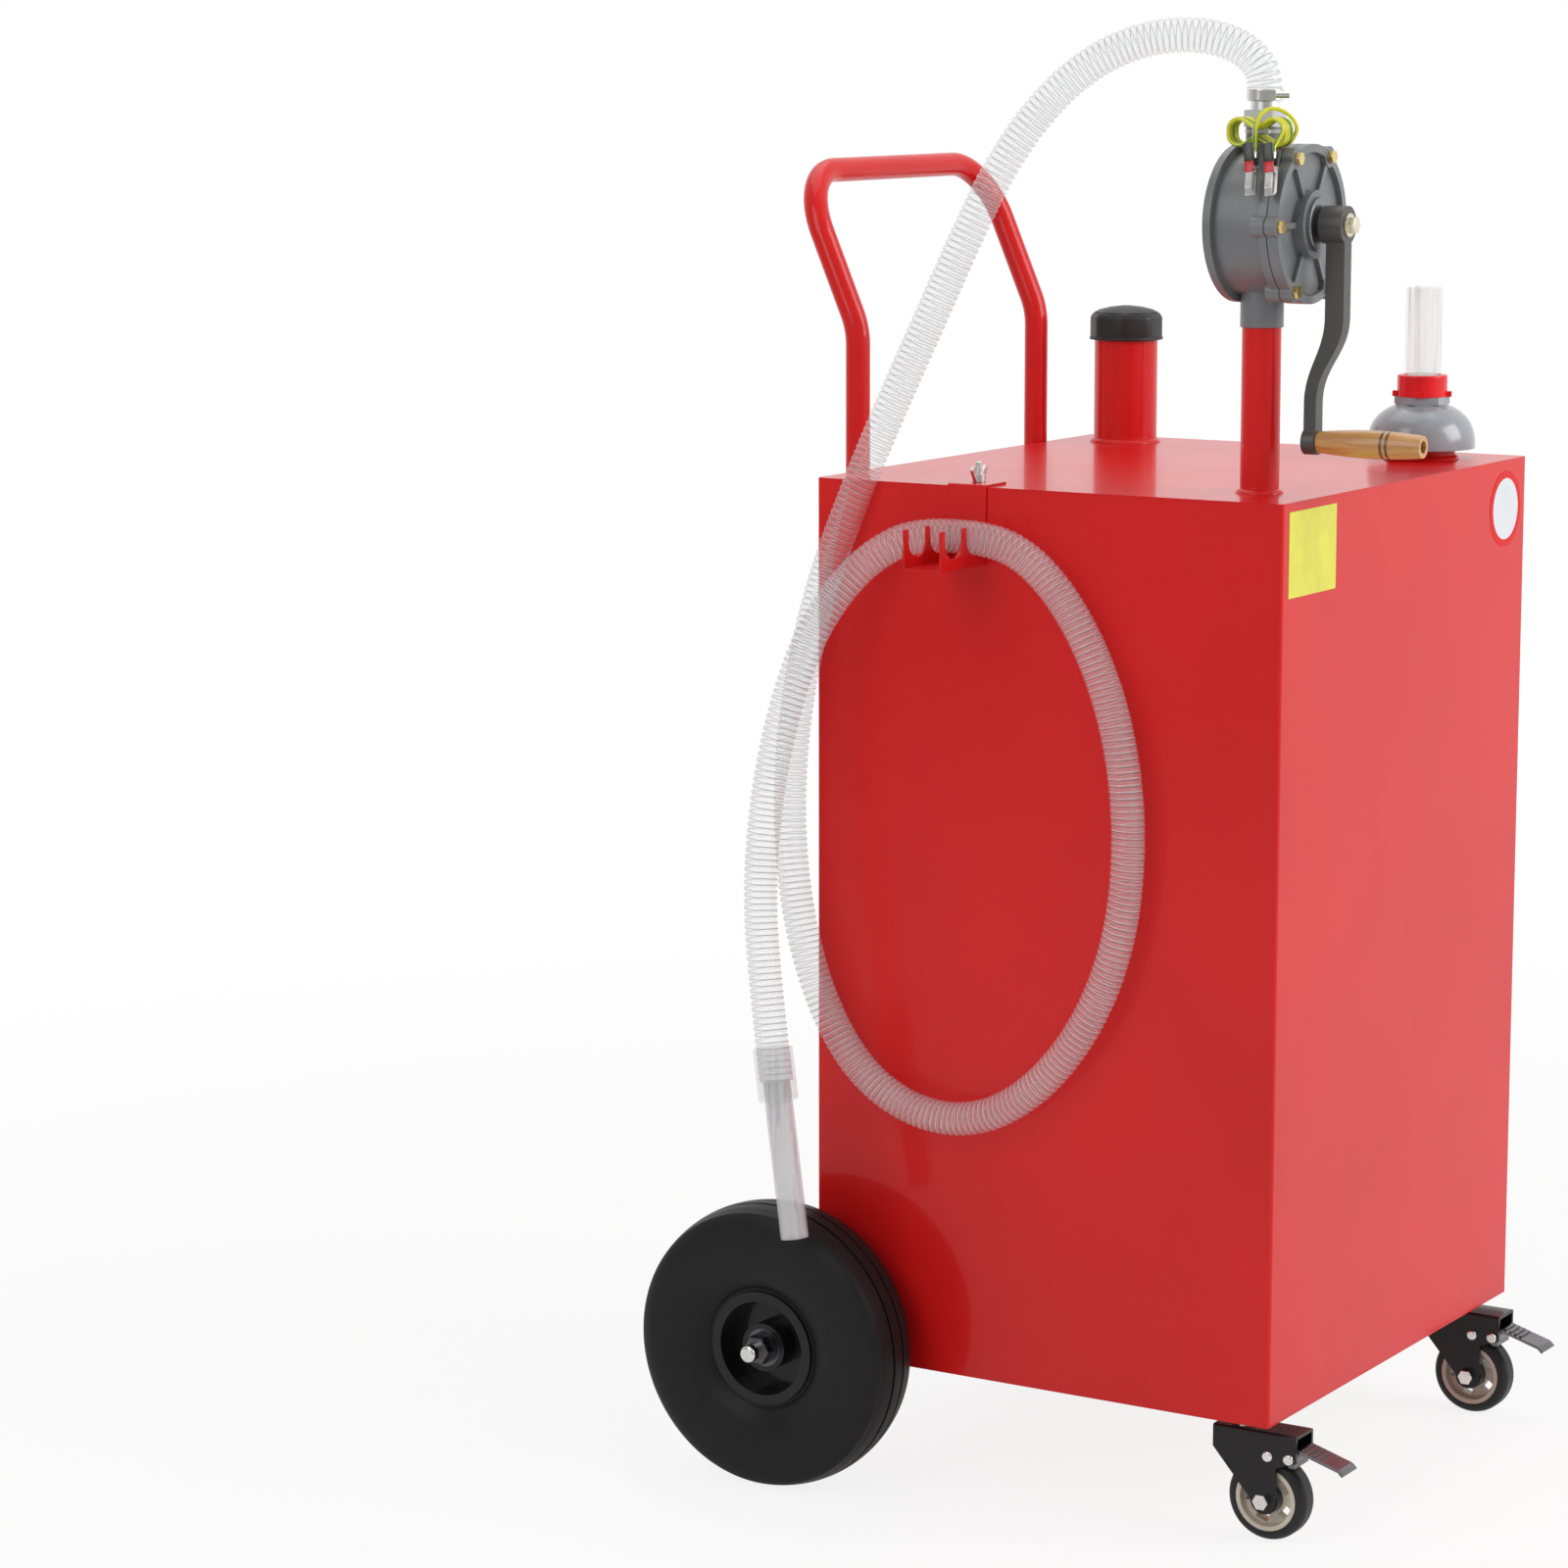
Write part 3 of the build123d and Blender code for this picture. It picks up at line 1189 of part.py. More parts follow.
# Spring clips: each hangs tip down beside the drum, with its jaws opening away from it
clip_fall = clip_tip_rise - clip_tail_rise
clip_run = Vector(clip_tail_out - clip_tip_out, -clip_tip_forward, clip_fall).normalized()
clip_outward = Vector(clip_run.Z, 0, -clip_run.X).normalized()
clip_across = clip_run.cross(clip_outward).normalized()
clip_tail = Vector(riser_x - clip_tail_out, riser_y - clip_near_forward, pump_z + clip_tail_rise)
clip_planes = [
    Plane(origin=clip_tail - Vector(0, index * clip_spacing, 0), x_dir=clip_run, z_dir=clip_across)
    for index in range(2)
]
pivot_x = clip_length * clip_pivot_share
jaw_start = pivot_x + clip_ear_radius
half_clip = clip_width / 2
lever_top = clip_length * clip_tail_rise_share
fixed_outline = (
    (0, -clip_depth),
    (0, clip_sheet - clip_depth),
    (jaw_start, clip_sheet - clip_depth),
    (jaw_start, -seat_gap),
    (clip_length - clip_sheet, -seat_gap),
    (clip_length, -clip_sheet),
    (clip_length - clip_depth, -clip_depth),
)
moving_outline = (
    (pivot_x, 0),
    (jaw_start, seat_gap),
    (clip_length - clip_sheet, seat_gap),
    (clip_length, clip_sheet),
    (clip_length - clip_depth, clip_depth),
    (pivot_x, clip_depth),
    (0, lever_top),
    (0, lever_top - clip_sheet),
)
with BuildPart() as clip_fixed_jaws:
    for clip_plane in clip_planes:
        with BuildSketch(clip_plane.offset(-half_clip)):
            Polygon(*fixed_outline, align=None)
        extrude(amount=clip_width)
        for ear_offset in (-half_clip, half_clip - clip_sheet):
            with BuildSketch(clip_plane.offset(ear_offset)):
                with Locations((pivot_x, 0)):
                    Circle(clip_ear_radius)
                with Locations((pivot_x, -clip_depth)):
                    Rectangle(2 * clip_ear_radius, clip_depth, align=(Align.CENTER, Align.MIN))
            extrude(amount=clip_sheet)
        with BuildSketch(clip_plane.offset(-half_clip)):
            with Locations((pivot_x, 0)):
                Circle(clip_pin_radius)
        extrude(amount=clip_width)
        crimp_origin = clip_plane.from_local_coords((0, -clip_crimp_offset, 0))
        bar(Plane(origin=crimp_origin, z_dir=clip_plane.x_dir), clip_crimp_radius, clip_crimp_length)
save(clip_fixed_jaws, "clip_fixed_jaws")

for clip_plane, name in zip(clip_planes, ("clip_jaw_a", "clip_jaw_b")):
    jaw_half = half_clip - clip_sheet - seat_gap
    with BuildPart() as clip_jaw:
        with BuildSketch(clip_plane.offset(-jaw_half)):
            Polygon(*moving_outline, align=None)
            with Locations((pivot_x, 0)):
                Circle(clip_ear_radius - seat_gap)
                Circle(clip_pin_radius + running_gap, mode=Mode.SUBTRACT)
        extrude(amount=2 * jaw_half)
    save(clip_jaw, name)

# Grounding wire: from one clip up into five turns drawn in at the waist, then over the top to the other clip
hank_centre = Vector(riser_x - hank_out, riser_y - hank_forward, pump_z + hank_rise)
half_depth_x = hank_turns * hank_pitch / 2
up = Vector(0, 0, 1)
ahead = Vector(0, 1, 0)


def hank_point(out, along, rise):
    return hank_centre + Vector(-out, along, rise)


def biarc(start, start_dir, end, end_dir, ratio):
    # Two tangent arcs from start to end, with the first control length a given ratio of the second.
    run = end - start
    pull = run.dot(start_dir * ratio + end_dir)
    bend = 2 * ratio * (start_dir.dot(end_dir) - 1)
    second = (2 * pull - math.sqrt(4 * pull**2 - 4 * bend * run.dot(run))) / (2 * bend)
    first = ratio * second
    start_knee = start + start_dir * first
    end_knee = end - end_dir * second
    middle = start_knee + (end_knee - start_knee) * (first / (first + second))
    TangentArc(start, middle, tangent=start_dir)
    TangentArc(middle, end, tangent=end_knee - start_knee)


def wire_tail(clip_plane):
    return clip_plane.from_local_coords((0, -clip_crimp_offset, 0))


narrow = hank_lobe_ratio_share
front_tail = wire_tail(clip_planes[1])
rear_tail = wire_tail(clip_planes[0])
front_start = front_tail - clip_run * wire_straight
rear_end = rear_tail - clip_run * wire_straight
knots = [(hank_point(half_depth_x, -hank_half_length, 0), up, 1)]
for turn in range(hank_turns):
    out = half_depth_x - turn * hank_pitch
    step = hank_pitch / 4
    knots.append((hank_point(out - step, 0, hank_waist), ahead, 1 / narrow))
    knots.append((hank_point(out - 2 * step, hank_half_length, 0), -up, narrow))
    knots.append((hank_point(out - 3 * step, 0, -hank_waist), -ahead, 1 / narrow))
    front_reach_now = hank_half_length + (hank_spread if turn == hank_turns - 1 else 0)
    knots.append((hank_point(out - 4 * step, -front_reach_now, 0), up, narrow))
over_dir = Vector(-hank_pitch, hank_pitch, 0).normalized()
over_point = hank_point(hank_waist, -hank_half_length / 2, hank_half_length - 2 * hank_waist)
knots.append((over_point, over_dir, 1))
exit_point = hank_point(hank_exit_out, rear_end.Y - hank_centre.Y, hank_exit_rise)
knots.append((exit_point, -up, 1))
knots.append((rear_end, clip_run, 1))
with BuildPart() as ground_hank:
    with BuildLine() as wire_line:
        Line(front_tail, front_start)
        here, heading = front_start, -clip_run
        for knot, direction, ratio in knots:
            biarc(here, heading, knot, direction, ratio)
            here, heading = knot, direction
        Line(rear_end, rear_tail)
    with BuildSketch(Plane(origin=front_tail, z_dir=-clip_run)):
        Circle(wire_radius)
    sweep()
save(ground_hank, "ground_hank")

wire = wire_line.wires()[0]
wire_length = wire.length
steps = int(wire_length)
samples = [tuple(wire.position_at(index / steps)) for index in range(steps + 1)]
apart = int(4 * hank_pitch)
least = min(
    math.dist(samples[first], samples[second])
    for first in range(len(samples))
    for second in range(first + apart, len(samples))
)
wire_section = math.pi * wire_radius**2
wire_share = ground_hank.part.volume / (wire_section * wire_length)
print(f"wire length {wire_length:.0f}, volume share {wire_share:.4f}")
print(f"least gap in the hank {least - 2 * wire_radius:.2f}")

# Tie: a band round the hank's waist, and one round the pump's neck beside it
band_x = 2 * (half_depth_x - hank_pitch / 8 + wire_radius + tie_gap)
band_height = 2 * (hank_waist + wire_radius + tie_gap)
waist_centre = hank_point(0, tie_width / 2, 0)
with BuildPart() as ground_tie:
    with BuildSketch(facing_front(waist_centre.X, waist_centre.Y, waist_centre.Z)):
        Rectangle(band_x + 2 * tie_band, band_height + 2 * tie_band)
        Rectangle(band_x, band_height, mode=Mode.SUBTRACT)
    extrude(amount=tie_width)
    neck_plane = facing_up(riser_x, riser_y, hank_centre.Z - tie_width / 2)
    tube(neck_plane, outlet_neck_radius + running_gap + tie_band, outlet_neck_radius + running_gap, tie_width)
    lock_x = (hank_centre.X + band_x / 2 + riser_x - outlet_neck_radius) / 2
    lock_length = riser_x - outlet_neck_radius - hank_centre.X - band_x / 2 - tie_band
    with Locations((lock_x, hank_centre.Y, hank_centre.Z)):
        Box(lock_length + tie_band, tie_width, tie_width)
    bar(neck_plane, outlet_neck_radius + running_gap, tie_width, Mode.SUBTRACT)
save(ground_tie, "ground_tie")

# Blank labels on the front wall
with BuildPart() as yellow_label:
    label_x = label_inset + label_width / 2 - half_width
    with BuildSketch(facing_front(label_x, front_y, tank_top - label_drop - label_height / 2)):
        Rectangle(label_width, label_height)
    extrude(amount=label_sheet)
save(yellow_label, "yellow_label")

with BuildPart() as white_label:
    bar(facing_front(half_width - sign_inset, front_y, tank_top - sign_drop), sign_radius, label_sheet)
save(white_label, "white_label")
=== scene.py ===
import math

import bpy
from bpy.props import FloatProperty, FloatVectorProperty, IntProperty, PointerProperty
from mathutils import Matrix, Vector


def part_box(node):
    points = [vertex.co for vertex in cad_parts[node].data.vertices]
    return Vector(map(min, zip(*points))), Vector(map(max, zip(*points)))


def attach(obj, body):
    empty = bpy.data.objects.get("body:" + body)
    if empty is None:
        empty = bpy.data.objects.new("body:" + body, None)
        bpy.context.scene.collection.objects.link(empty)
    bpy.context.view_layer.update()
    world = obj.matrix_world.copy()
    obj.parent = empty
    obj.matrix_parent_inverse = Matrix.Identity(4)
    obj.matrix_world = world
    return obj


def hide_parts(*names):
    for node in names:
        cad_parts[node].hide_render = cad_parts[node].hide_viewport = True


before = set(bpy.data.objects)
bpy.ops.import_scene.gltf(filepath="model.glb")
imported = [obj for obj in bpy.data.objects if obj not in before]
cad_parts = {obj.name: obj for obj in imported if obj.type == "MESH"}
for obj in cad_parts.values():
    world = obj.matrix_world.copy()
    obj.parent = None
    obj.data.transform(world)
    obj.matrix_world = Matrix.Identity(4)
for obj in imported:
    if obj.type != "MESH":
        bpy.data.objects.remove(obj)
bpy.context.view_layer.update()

# A fuel caddy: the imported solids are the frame. The hose, the wire, the fill cap's shell, the clips'
# trims and all finishes are made here.
# Sizes are in metres. The floor is z 0, the tank's front is towards -y, and the hose hangs on its -x side.

bl_info = {
    "name": "Fuel caddy",
    "version": (1, 0, 0),
    "blender": (4, 5, 0),
    "location": "3D View > Sidebar > Fuel caddy",
    "description": "Dresses a fuel caddy's solids with its hose, ground wire, trims and finishes",
    "category": "Object",
}

# Where the solids are
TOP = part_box("tank_top")[1].z
RISER = (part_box("riser_pipe")[0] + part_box("riser_pipe")[1]) / 2
PUMP = Vector((RISER.x, RISER.y, TOP + 0.229))
FILL = (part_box("fill_cap")[0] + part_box("fill_cap")[1]) / 2
GRIP = (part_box("grip")[0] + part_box("grip")[1]) / 2

# The photograph's camera, solved from the tank's corners and edges: azimuth, elevation and roll in degrees
CAMERA_EYE = (-3.6957, -1.9098, 1.2995)
CAMERA_TURN = (-58.002, 9.355, -0.093)
CAMERA_SENSOR = 36.0
CAMERA_LENS = 104.83

# The lamps by their power's setting: name, place, target and size
LAMPS = {
    "key": ("front_lamp", (0.9, -3.6, 2.5), (0.0, -0.2, 0.6), (2.4, 2.4)),
    "fill": ("side_lamp", (-3.4, 0.6, 2.6), (-0.2, 0.0, 0.7), (2.0, 2.6)),
    "above": ("top_lamp", (0.4, 0.6, 3.6), (0.0, 0.0, 0.9), (2.6, 2.6)),
}

# The white backdrop is mirrored less towards -x, between these directions of the sky and places of the floor
SKY_FADE = (-0.7, 0.3)
FLOOR_FADE = (-2.0, 1.5)

# The floor's share of plain white near the part, and from where to where it grows to all of it
FLOOR_WIDTH = 24.0
FLOOR_WHITE = 0.86
FLOOR_WHITE_FADE = (0.7, 2.6)

# Rings of points to one turn of the hose's coil, and what the ground wire's rings are like
COIL_STEPS = 6
WIRE_STEP = 0.0014
WIRE_SIDES = 12

# The hose's route, from the pump's outlet to the cuff
HOSE_ROUTE = [
    (-0.18, -0.1927, 1.241), (-0.18, -0.1927, 1.26), (-0.182, -0.184, 1.277), (-0.187, -0.164, 1.291),
    (-0.195, -0.128, 1.298), (-0.206, -0.083, 1.292), (-0.217, -0.038, 1.269), (-0.227, 0.001, 1.231),
    (-0.236, 0.034, 1.181), (-0.243, 0.062, 1.122), (-0.25, 0.092, 1.054), (-0.258, 0.124, 0.982),
    (-0.266, 0.156, 0.906), (-0.272, 0.183, 0.834), (-0.276, 0.203, 0.762), (-0.2785, 0.215, 0.69),
    (-0.2785, 0.22, 0.625), (-0.2785, 0.217, 0.557), (-0.2785, 0.204, 0.49), (-0.2785, 0.178, 0.425),
    (-0.2785, 0.138, 0.375), (-0.2785, 0.084, 0.35), (-0.2785, 0.028, 0.351), (-0.2785, -0.022, 0.377),
    (-0.2785, -0.066, 0.423), (-0.2785, -0.098, 0.479), (-0.2785, -0.117, 0.541), (-0.2785, -0.123, 0.609),
    (-0.2785, -0.118, 0.676), (-0.2785, -0.101, 0.743), (-0.2785, -0.07, 0.804), (-0.2785, -0.031, 0.848),
    (-0.2785, 0.011, 0.8684), (-0.2785, 0.087, 0.8684), (-0.282, 0.126, 0.851), (-0.296, 0.154, 0.821),
    (-0.314, 0.176, 0.778), (-0.331, 0.191, 0.717), (-0.344, 0.201, 0.646), (-0.353, 0.204, 0.571),
    (-0.358, 0.199, 0.495), (-0.363, 0.181, 0.386),
]

# The spring clips: the way they hang, the first one's tail from the riser and the pump, the step to
# the second one, and the wire's place at a tail with the lengths that it leaves straight
CLIP_RUN = Vector((-0.5101, -0.1943, -0.838))
CLIP_X = -0.235
CLIP_SIDE = 0.016
CLIP_STEP = 0.018
CLIP_RISE = 0.062
WIRE_SHIFT = Vector((0.00256, 0.0, -0.00156))
WIRE_LEADS = (0.0034, 0.007)

# The ground wire's hank. Half a turn goes along and up: one lobe, the waist and the other lobe
HANK_CENTRE = Vector((RISER.x - 0.033, RISER.y - 0.012, PUMP.z + 0.0772))
HANK_TURNS = 5
HANK_PITCH = 0.004
HANK_REACH = 0.01
HANK_HALF = [
    (-0.026, 0.0), (-0.0255, 0.0055), (-0.0225, 0.0092), (-0.0175, 0.0113),
    (-0.0125, 0.0108), (-0.0065, 0.0068), (0.0, 0.003), (0.0065, 0.0068),
    (0.0125, 0.0108), (0.0175, 0.0113), (0.0225, 0.0092), (0.0255, 0.0055),
]

# From the hank's last turn over to the first clip
HANK_END = [
    (0.01, -0.0292, 0.001), (0.0095, -0.0285, 0.0075), (0.006, -0.0235, 0.0145), (0.0, -0.0165, 0.0195),
    (-0.007, -0.0095, 0.0195), (-0.0145, -0.005, 0.013), (-0.0167, -0.0035, 0.004),
]


def colour_setting(name, description, default):
    return FloatVectorProperty(name=name, description=description, subtype="COLOR", default=default)


def length_setting(name, description, default):
    return FloatProperty(name=name, description=description, unit="LENGTH", default=default)


def power_setting(name, description, default):
    return FloatProperty(name=name, description=description, subtype="POWER", default=default)


class CaddyColours(bpy.types.PropertyGroup):
    paint: colour_setting("Paint", "Tank, handle and hook", (0.68, 0.011, 0.011))
    casting: colour_setting("Casting", "Pump body and cover", (0.165, 0.17, 0.176))
    wood: colour_setting("Wood", "Crank's grip", (0.66, 0.35, 0.1))
    core: colour_setting("Core", "Caster wheels' cores", (0.62, 0.56, 0.45))
    sticker: colour_setting("Sticker", "Blank sticker", (0.74, 0.71, 0.07))


class CaddyHose(bpy.types.PropertyGroup):
    radius: length_setting("Radius", "Hose's outer radius", 0.015)
    pitch: length_setting("Pitch", "From one turn of the wire coil to the next", 0.0056)
    swell: length_setting("Swell", "Depth of the wall between turns", 0.0009)
    sides: IntProperty(name="Sides", description="Points round the hose", default=24)
    wire: length_setting("Wire", "Ground wire's radius", 0.0017)


class CaddyStage(bpy.types.PropertyGroup):
    key: power_setting("Key", "Lamp on the tank's front", 95.0)
    fill: power_setting("Fill", "Lamp on the hose side", 42.0)
    above: power_setting("Above", "Lamp over the top", 26.0)
    ambient: FloatProperty(name="Ambient", description="Light from all round", default=0.36)
    mirrored: FloatProperty(
        name="Mirrored", description="Least share of the white backdrop in reflections", default=0.06,
    )


class Number:
    """A number on its way through a finish; the operators add its Math nodes."""

    def __init__(self, finish, socket):
        self.finish = finish
        self.socket = socket

    def math(self, operation, *values):
        return self.finish.node("ShaderNodeMath", {"operation": operation}, dict(enumerate(values)))

    def __add__(self, other):
        return self.math("ADD", self, other)

    def __sub__(self, other):
        return self.math("SUBTRACT", self, other)

    def __rsub__(self, other):
        return self.math("SUBTRACT", other, self)

    def __mul__(self, other):
        return self.math("MULTIPLY", self, other)

    __radd__ = __add__
    __rmul__ = __mul__


class Finish:
    """One material, built up from its principled shader."""

    def __init__(self, name, colour, roughness, metallic=0.0, **sockets):
        self.material = bpy.data.materials.new(name)
        self.material.use_nodes = True
        self.tree = self.material.node_tree
        self.shader = self.tree.nodes["Principled BSDF"]
        self.feed(self.shader, {"Base Color": colour, "Roughness": roughness, "Metallic": metallic})
        self.feed(self.shader, {name.replace("_", " "): value for name, value in sockets.items()})

    def feed(self, node, values):
        for name, value in values.items():
            socket = node.inputs[name]
            if isinstance(value, Number):
                self.tree.links.new(value.socket, socket)
            elif socket.type == "RGBA":
                socket.default_value = (*value[:3], 1.0)
            else:
                socket.default_value = value

    def set(self, **values):
        self.feed(self.shader, {name.replace("_", " "): value for name, value in values.items()})

    def node(self, kind, settings=None, values=None, output=0):
        """Adds a node with its settings and inputs, and returns one of its outputs."""
        made = self.tree.nodes.new(kind)
        for name, value in (settings or {}).items():
            setattr(made, name, value)
        self.feed(made, values or {})
        return Number(self, made.outputs[output])

    def point(self):
        return self.node("ShaderNodeTexCoord", output="Object")

    def along(self, axis):
        return self.node("ShaderNodeSeparateXYZ", values={"Vector": self.point()}, output=axis)

    def noise(self, scale, detail=3.0, spread=0.55, stretch=None):
        at = self.point()
        if stretch:
            at = self.node("ShaderNodeMapping", values={"Vector": at, "Scale": stretch})
        values = {"Vector": at, "Scale": scale, "Detail": detail, "Roughness": spread}
        return self.node("ShaderNodeTexNoise", values=values)

    def step(self, value, low, high):
        """0 below low, 1 above high, and smooth between them."""
        limits = {"Value": value, "From Min": low, "From Max": high}
        return self.node("ShaderNodeMapRange", {"interpolation_type": "SMOOTHSTEP"}, limits)

    def band(self, value, low, high, soft):
        """1 from low to high, with soft edges outside them."""
        return self.step(value, low - soft, low) * (1 - self.step(value, high, high + soft))

    def mix(self, share, first, second):
        return self.node("ShaderNodeMix", {"data_type": "RGBA"}, {0: share, 6: first, 7: second}, 2)

    def from_axis(self, centre, axis):
        """How far a point is from a line through centre, along that axis."""
        keep = [0.0 if name == axis else 1.0 for name in "XYZ"]
        kind = "ShaderNodeVectorMath"
        away = self.node(kind, {"operation": "SUBTRACT"}, {0: self.point(), 1: tuple(centre)})
        flat = self.node(kind, {"operation": "MULTIPLY"}, {0: away, 1: tuple(keep)})
        return self.node(kind, {"operation": "LENGTH"}, {0: flat}, "Value")

    def coil(self):
        """How far round a tube a point is, and how many turns along it, from the map named coil."""
        where = self.node("ShaderNodeUVMap", {"uv_map": "coil"})
        return [self.node("ShaderNodeSeparateXYZ", values={"Vector": where}, output=name) for name in "XY"]

    def relief(self, height, depth, edge=0.0):
        """Feeds a height to the shader's normal, over edges that are softened by a radius."""
        values = {"Height": height, "Distance": depth, "Strength": 1.0}
        if edge:
            values["Normal"] = self.node("ShaderNodeBevel", {"samples": 4}, {"Radius": edge})
        self.feed(self.shader, {"Normal": self.node("ShaderNodeBump", values=values)})

    def speckle(self, colour, amount, scale, detail=3.0):
        """A colour that drifts darker and lighter by an amount."""
        dark = tuple(part * (1 - amount) for part in colour)
        light = tuple(min(1.0, part * (1 + amount)) for part in colour)
        return self.mix(self.step(self.noise(scale, detail), 0.3, 0.7), dark, light)


def gloss_paint(name, colour, peel=0.00006, weld=None):
    """Thick gloss paint with a slight orange peel; a weld height makes the bead below it lumpy."""
    paint = Finish(name, colour, 0.3, Specular_IOR_Level=0.12, Coat_Weight=0.38, Coat_Roughness=0.08)
    paint.set(Base_Color=paint.speckle(colour, 0.05, 3.5), Roughness=0.26 + 0.12 * paint.noise(6.0))
    height = paint.noise(420.0, 2.0)
    if weld:
        bead = 1 - paint.step(paint.along("Z"), weld - 0.001, weld)
        height = height + bead * paint.noise(130.0, 2.0) * 14.0
    paint.relief(height, peel, 0.0008)
    return paint.material


def cast_paint(name, colour, pale=None, coat=0.35):
    """Satin paint over a sand casting; above a pale height, another colour takes over."""
    cast = Finish(name, colour, 0.4, Coat_Weight=coat, Coat_Roughness=0.25)
    shade = cast.speckle(colour, 0.1, 18.0, 5.0)
    if pale:
        shade = cast.mix(cast.step(cast.along("Z"), pale - 0.0004, pale), shade, (0.6, 0.62, 0.63))
    cast.set(Base_Color=shade, Roughness=0.34 + 0.2 * cast.noise(45.0))
    cast.relief(cast.noise(650.0, 3.0) + 2.0 * cast.noise(90.0, 2.0), 0.00012, 0.0012)
    return cast.material


def plated(name, colour, roughness):
    """Plated or polished metal with faint handling marks."""
    metal = Finish(name, colour, roughness, 1.0)
    metal.set(
        Base_Color=metal.speckle(colour, 0.12, 60.0),
        Roughness=roughness * 0.7 + metal.noise(90.0, 4.0) * roughness * 0.6,
    )
    metal.relief(metal.noise(300.0, 3.0), 0.00003, 0.0004)
    return metal.material


def moulded(name, colour, roughness, edge=0.0005, coat=0.0):
    """Moulded plastic or rubber with a fine grain."""
    plastic = Finish(name, colour, roughness, Specular_IOR_Level=0.35, Coat_Weight=coat, Coat_Roughness=0.15)
    plastic.set(
        Base_Color=plastic.speckle(colour, 0.12, 25.0),
        Roughness=roughness - 0.06 + 0.12 * plastic.noise(70.0),
    )
    plastic.relief(plastic.noise(900.0, 2.0), 0.00005, edge)
    return plastic.material


def clear(name, colour, alpha, painted_streak=0.25):
    """Clear plastic with painted shade: grey vertical streaks, denser and greyer, that stand in for the dark
    edges of a clear tube.
    """
    sheet = Finish(name, colour, 0.1, Coat_Weight=0.4, Coat_Roughness=0.05)
    # Painted shade: a mask of vertical streaks that greys the colour and thickens the alpha
    line = sheet.step(sheet.noise(150.0, 2.0, 0.5, (1.0, 1.0, 0.03)), 0.5, 0.62)
    sheet.set(Base_Color=sheet.mix(line * 0.6, colour, (0.42, 0.43, 0.45)), Alpha=alpha + line * painted_streak)
    return sheet.material


def ribbed_hose():
    """Clear wall with a dark wire coil in it; u runs round the hose and v counts the coil's turns."""
    wall = Finish("ribbed_hose", (0.9, 0.91, 0.93), 0.14, Coat_Weight=0.5, Coat_Roughness=0.06)
    round_it, turns = wall.coil()
    turn = (turns + round_it).math("FRACT", turns + round_it)
    wire = wall.band(turn, 0.46, 0.56, 0.07)
    # Painted highlight: a white band beside each turn of the coil, in colour and in alpha
    painted_glint = wall.band(turn, 0.72, 0.8, 0.08)
    colour = wall.mix(wire, wall.speckle((0.9, 0.91, 0.93), 0.06, 30.0), (0.2, 0.21, 0.24))
    colour = wall.mix(painted_glint * 0.7, colour, (1.0, 1.0, 1.0))
    wall.set(Base_Color=colour, Alpha=0.13 + 0.1 * wall.noise(25.0) + wire * 0.3 + painted_glint * 0.18)
    return wall.material


def striped_wire():
    """Green insulation with a yellow stripe that runs along it."""
    wire = Finish("striped_wire", (0.6, 0.62, 0.02), 0.3, Coat_Weight=0.4, Coat_Roughness=0.15)
    round_it, turns = wire.coil()
    lay = round_it + turns * 0.012
    green = wire.band(lay.math("FRACT", lay), 0.34, 0.54, 0.03)
    wire.set(Base_Color=wire.mix(green, (0.72, 0.7, 0.015), (0.1, 0.26, 0.015)))
    return wire.material


def dress(material, *names):
    """Gives CAD nodes a finish."""
    for name in names:
        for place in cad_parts[name].material_slots:
            place.material = material


def alone(*pieces):
    """Leaves edit mode and selects these pieces only. The first of them is active."""
    if bpy.context.object and bpy.context.object.mode == "EDIT":
        bpy.ops.object.mode_set(mode="OBJECT")
    bpy.ops.object.select_all(action="DESELECT")
    for piece in pieces:
        piece.select_set(True)
    if pieces:
        bpy.context.view_layer.objects.active = pieces[0]


def finished(piece, name, material, body, slot, *nodes):
    """Names and finishes a piece, lays its place into its mesh, and says what it rides and replaces."""
    alone(piece)
    bpy.ops.object.transform_apply(location=True, rotation=True, scale=True)
    piece.name = piece.data.name = name
    piece.data.materials.clear()
    piece.data.materials.append(material)
    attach(piece, body)
    if nodes:
        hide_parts(*nodes)


def primitive(kind, **sizes):
    """Adds one primitive by itself and returns it."""
    alone()
    getattr(bpy.ops.mesh, f"primitive_{kind}_add")(**sizes)
    return bpy.context.object


def pick(piece, test, kind="faces"):
    """Selects the faces or edges that a test takes by their middle and direction, and enters edit mode."""
    bpy.ops.object.mode_set(mode="OBJECT")
    mesh = piece.data
    for group in (mesh.vertices, mesh.edges, mesh.polygons):
        for part in group:
            part.select = False
    if kind == "faces":
        for face in mesh.polygons:
            face.select = test(face.center, face.normal)
    else:
        for edge in mesh.edges:
            start, end = (mesh.vertices[index].co for index in edge.vertices)
            edge.select = test((start + end) / 2, (end - start).normalized())
    bpy.context.tool_settings.mesh_select_mode = (False, kind == "edges", kind == "faces")
    bpy.ops.object.mode_set(mode="EDIT")


def smooth(piece, angle=35.0):
    """Shades a piece smooth, but for edges over an angle."""
    alone(piece)
    bpy.ops.object.shade_smooth_by_angle(angle=math.radians(angle))


def rounded(piece, width, angle=40.0):
    """Rounds a piece's edges with an applied bevel."""
    alone(piece)
    bevel = piece.modifiers.new("rounding", "BEVEL")
    bevel.width = width
    bevel.segments = 3
    bevel.angle_limit = math.radians(angle)
    bpy.ops.object.modifier_apply(modifier=bevel.name)
    smooth(piece)


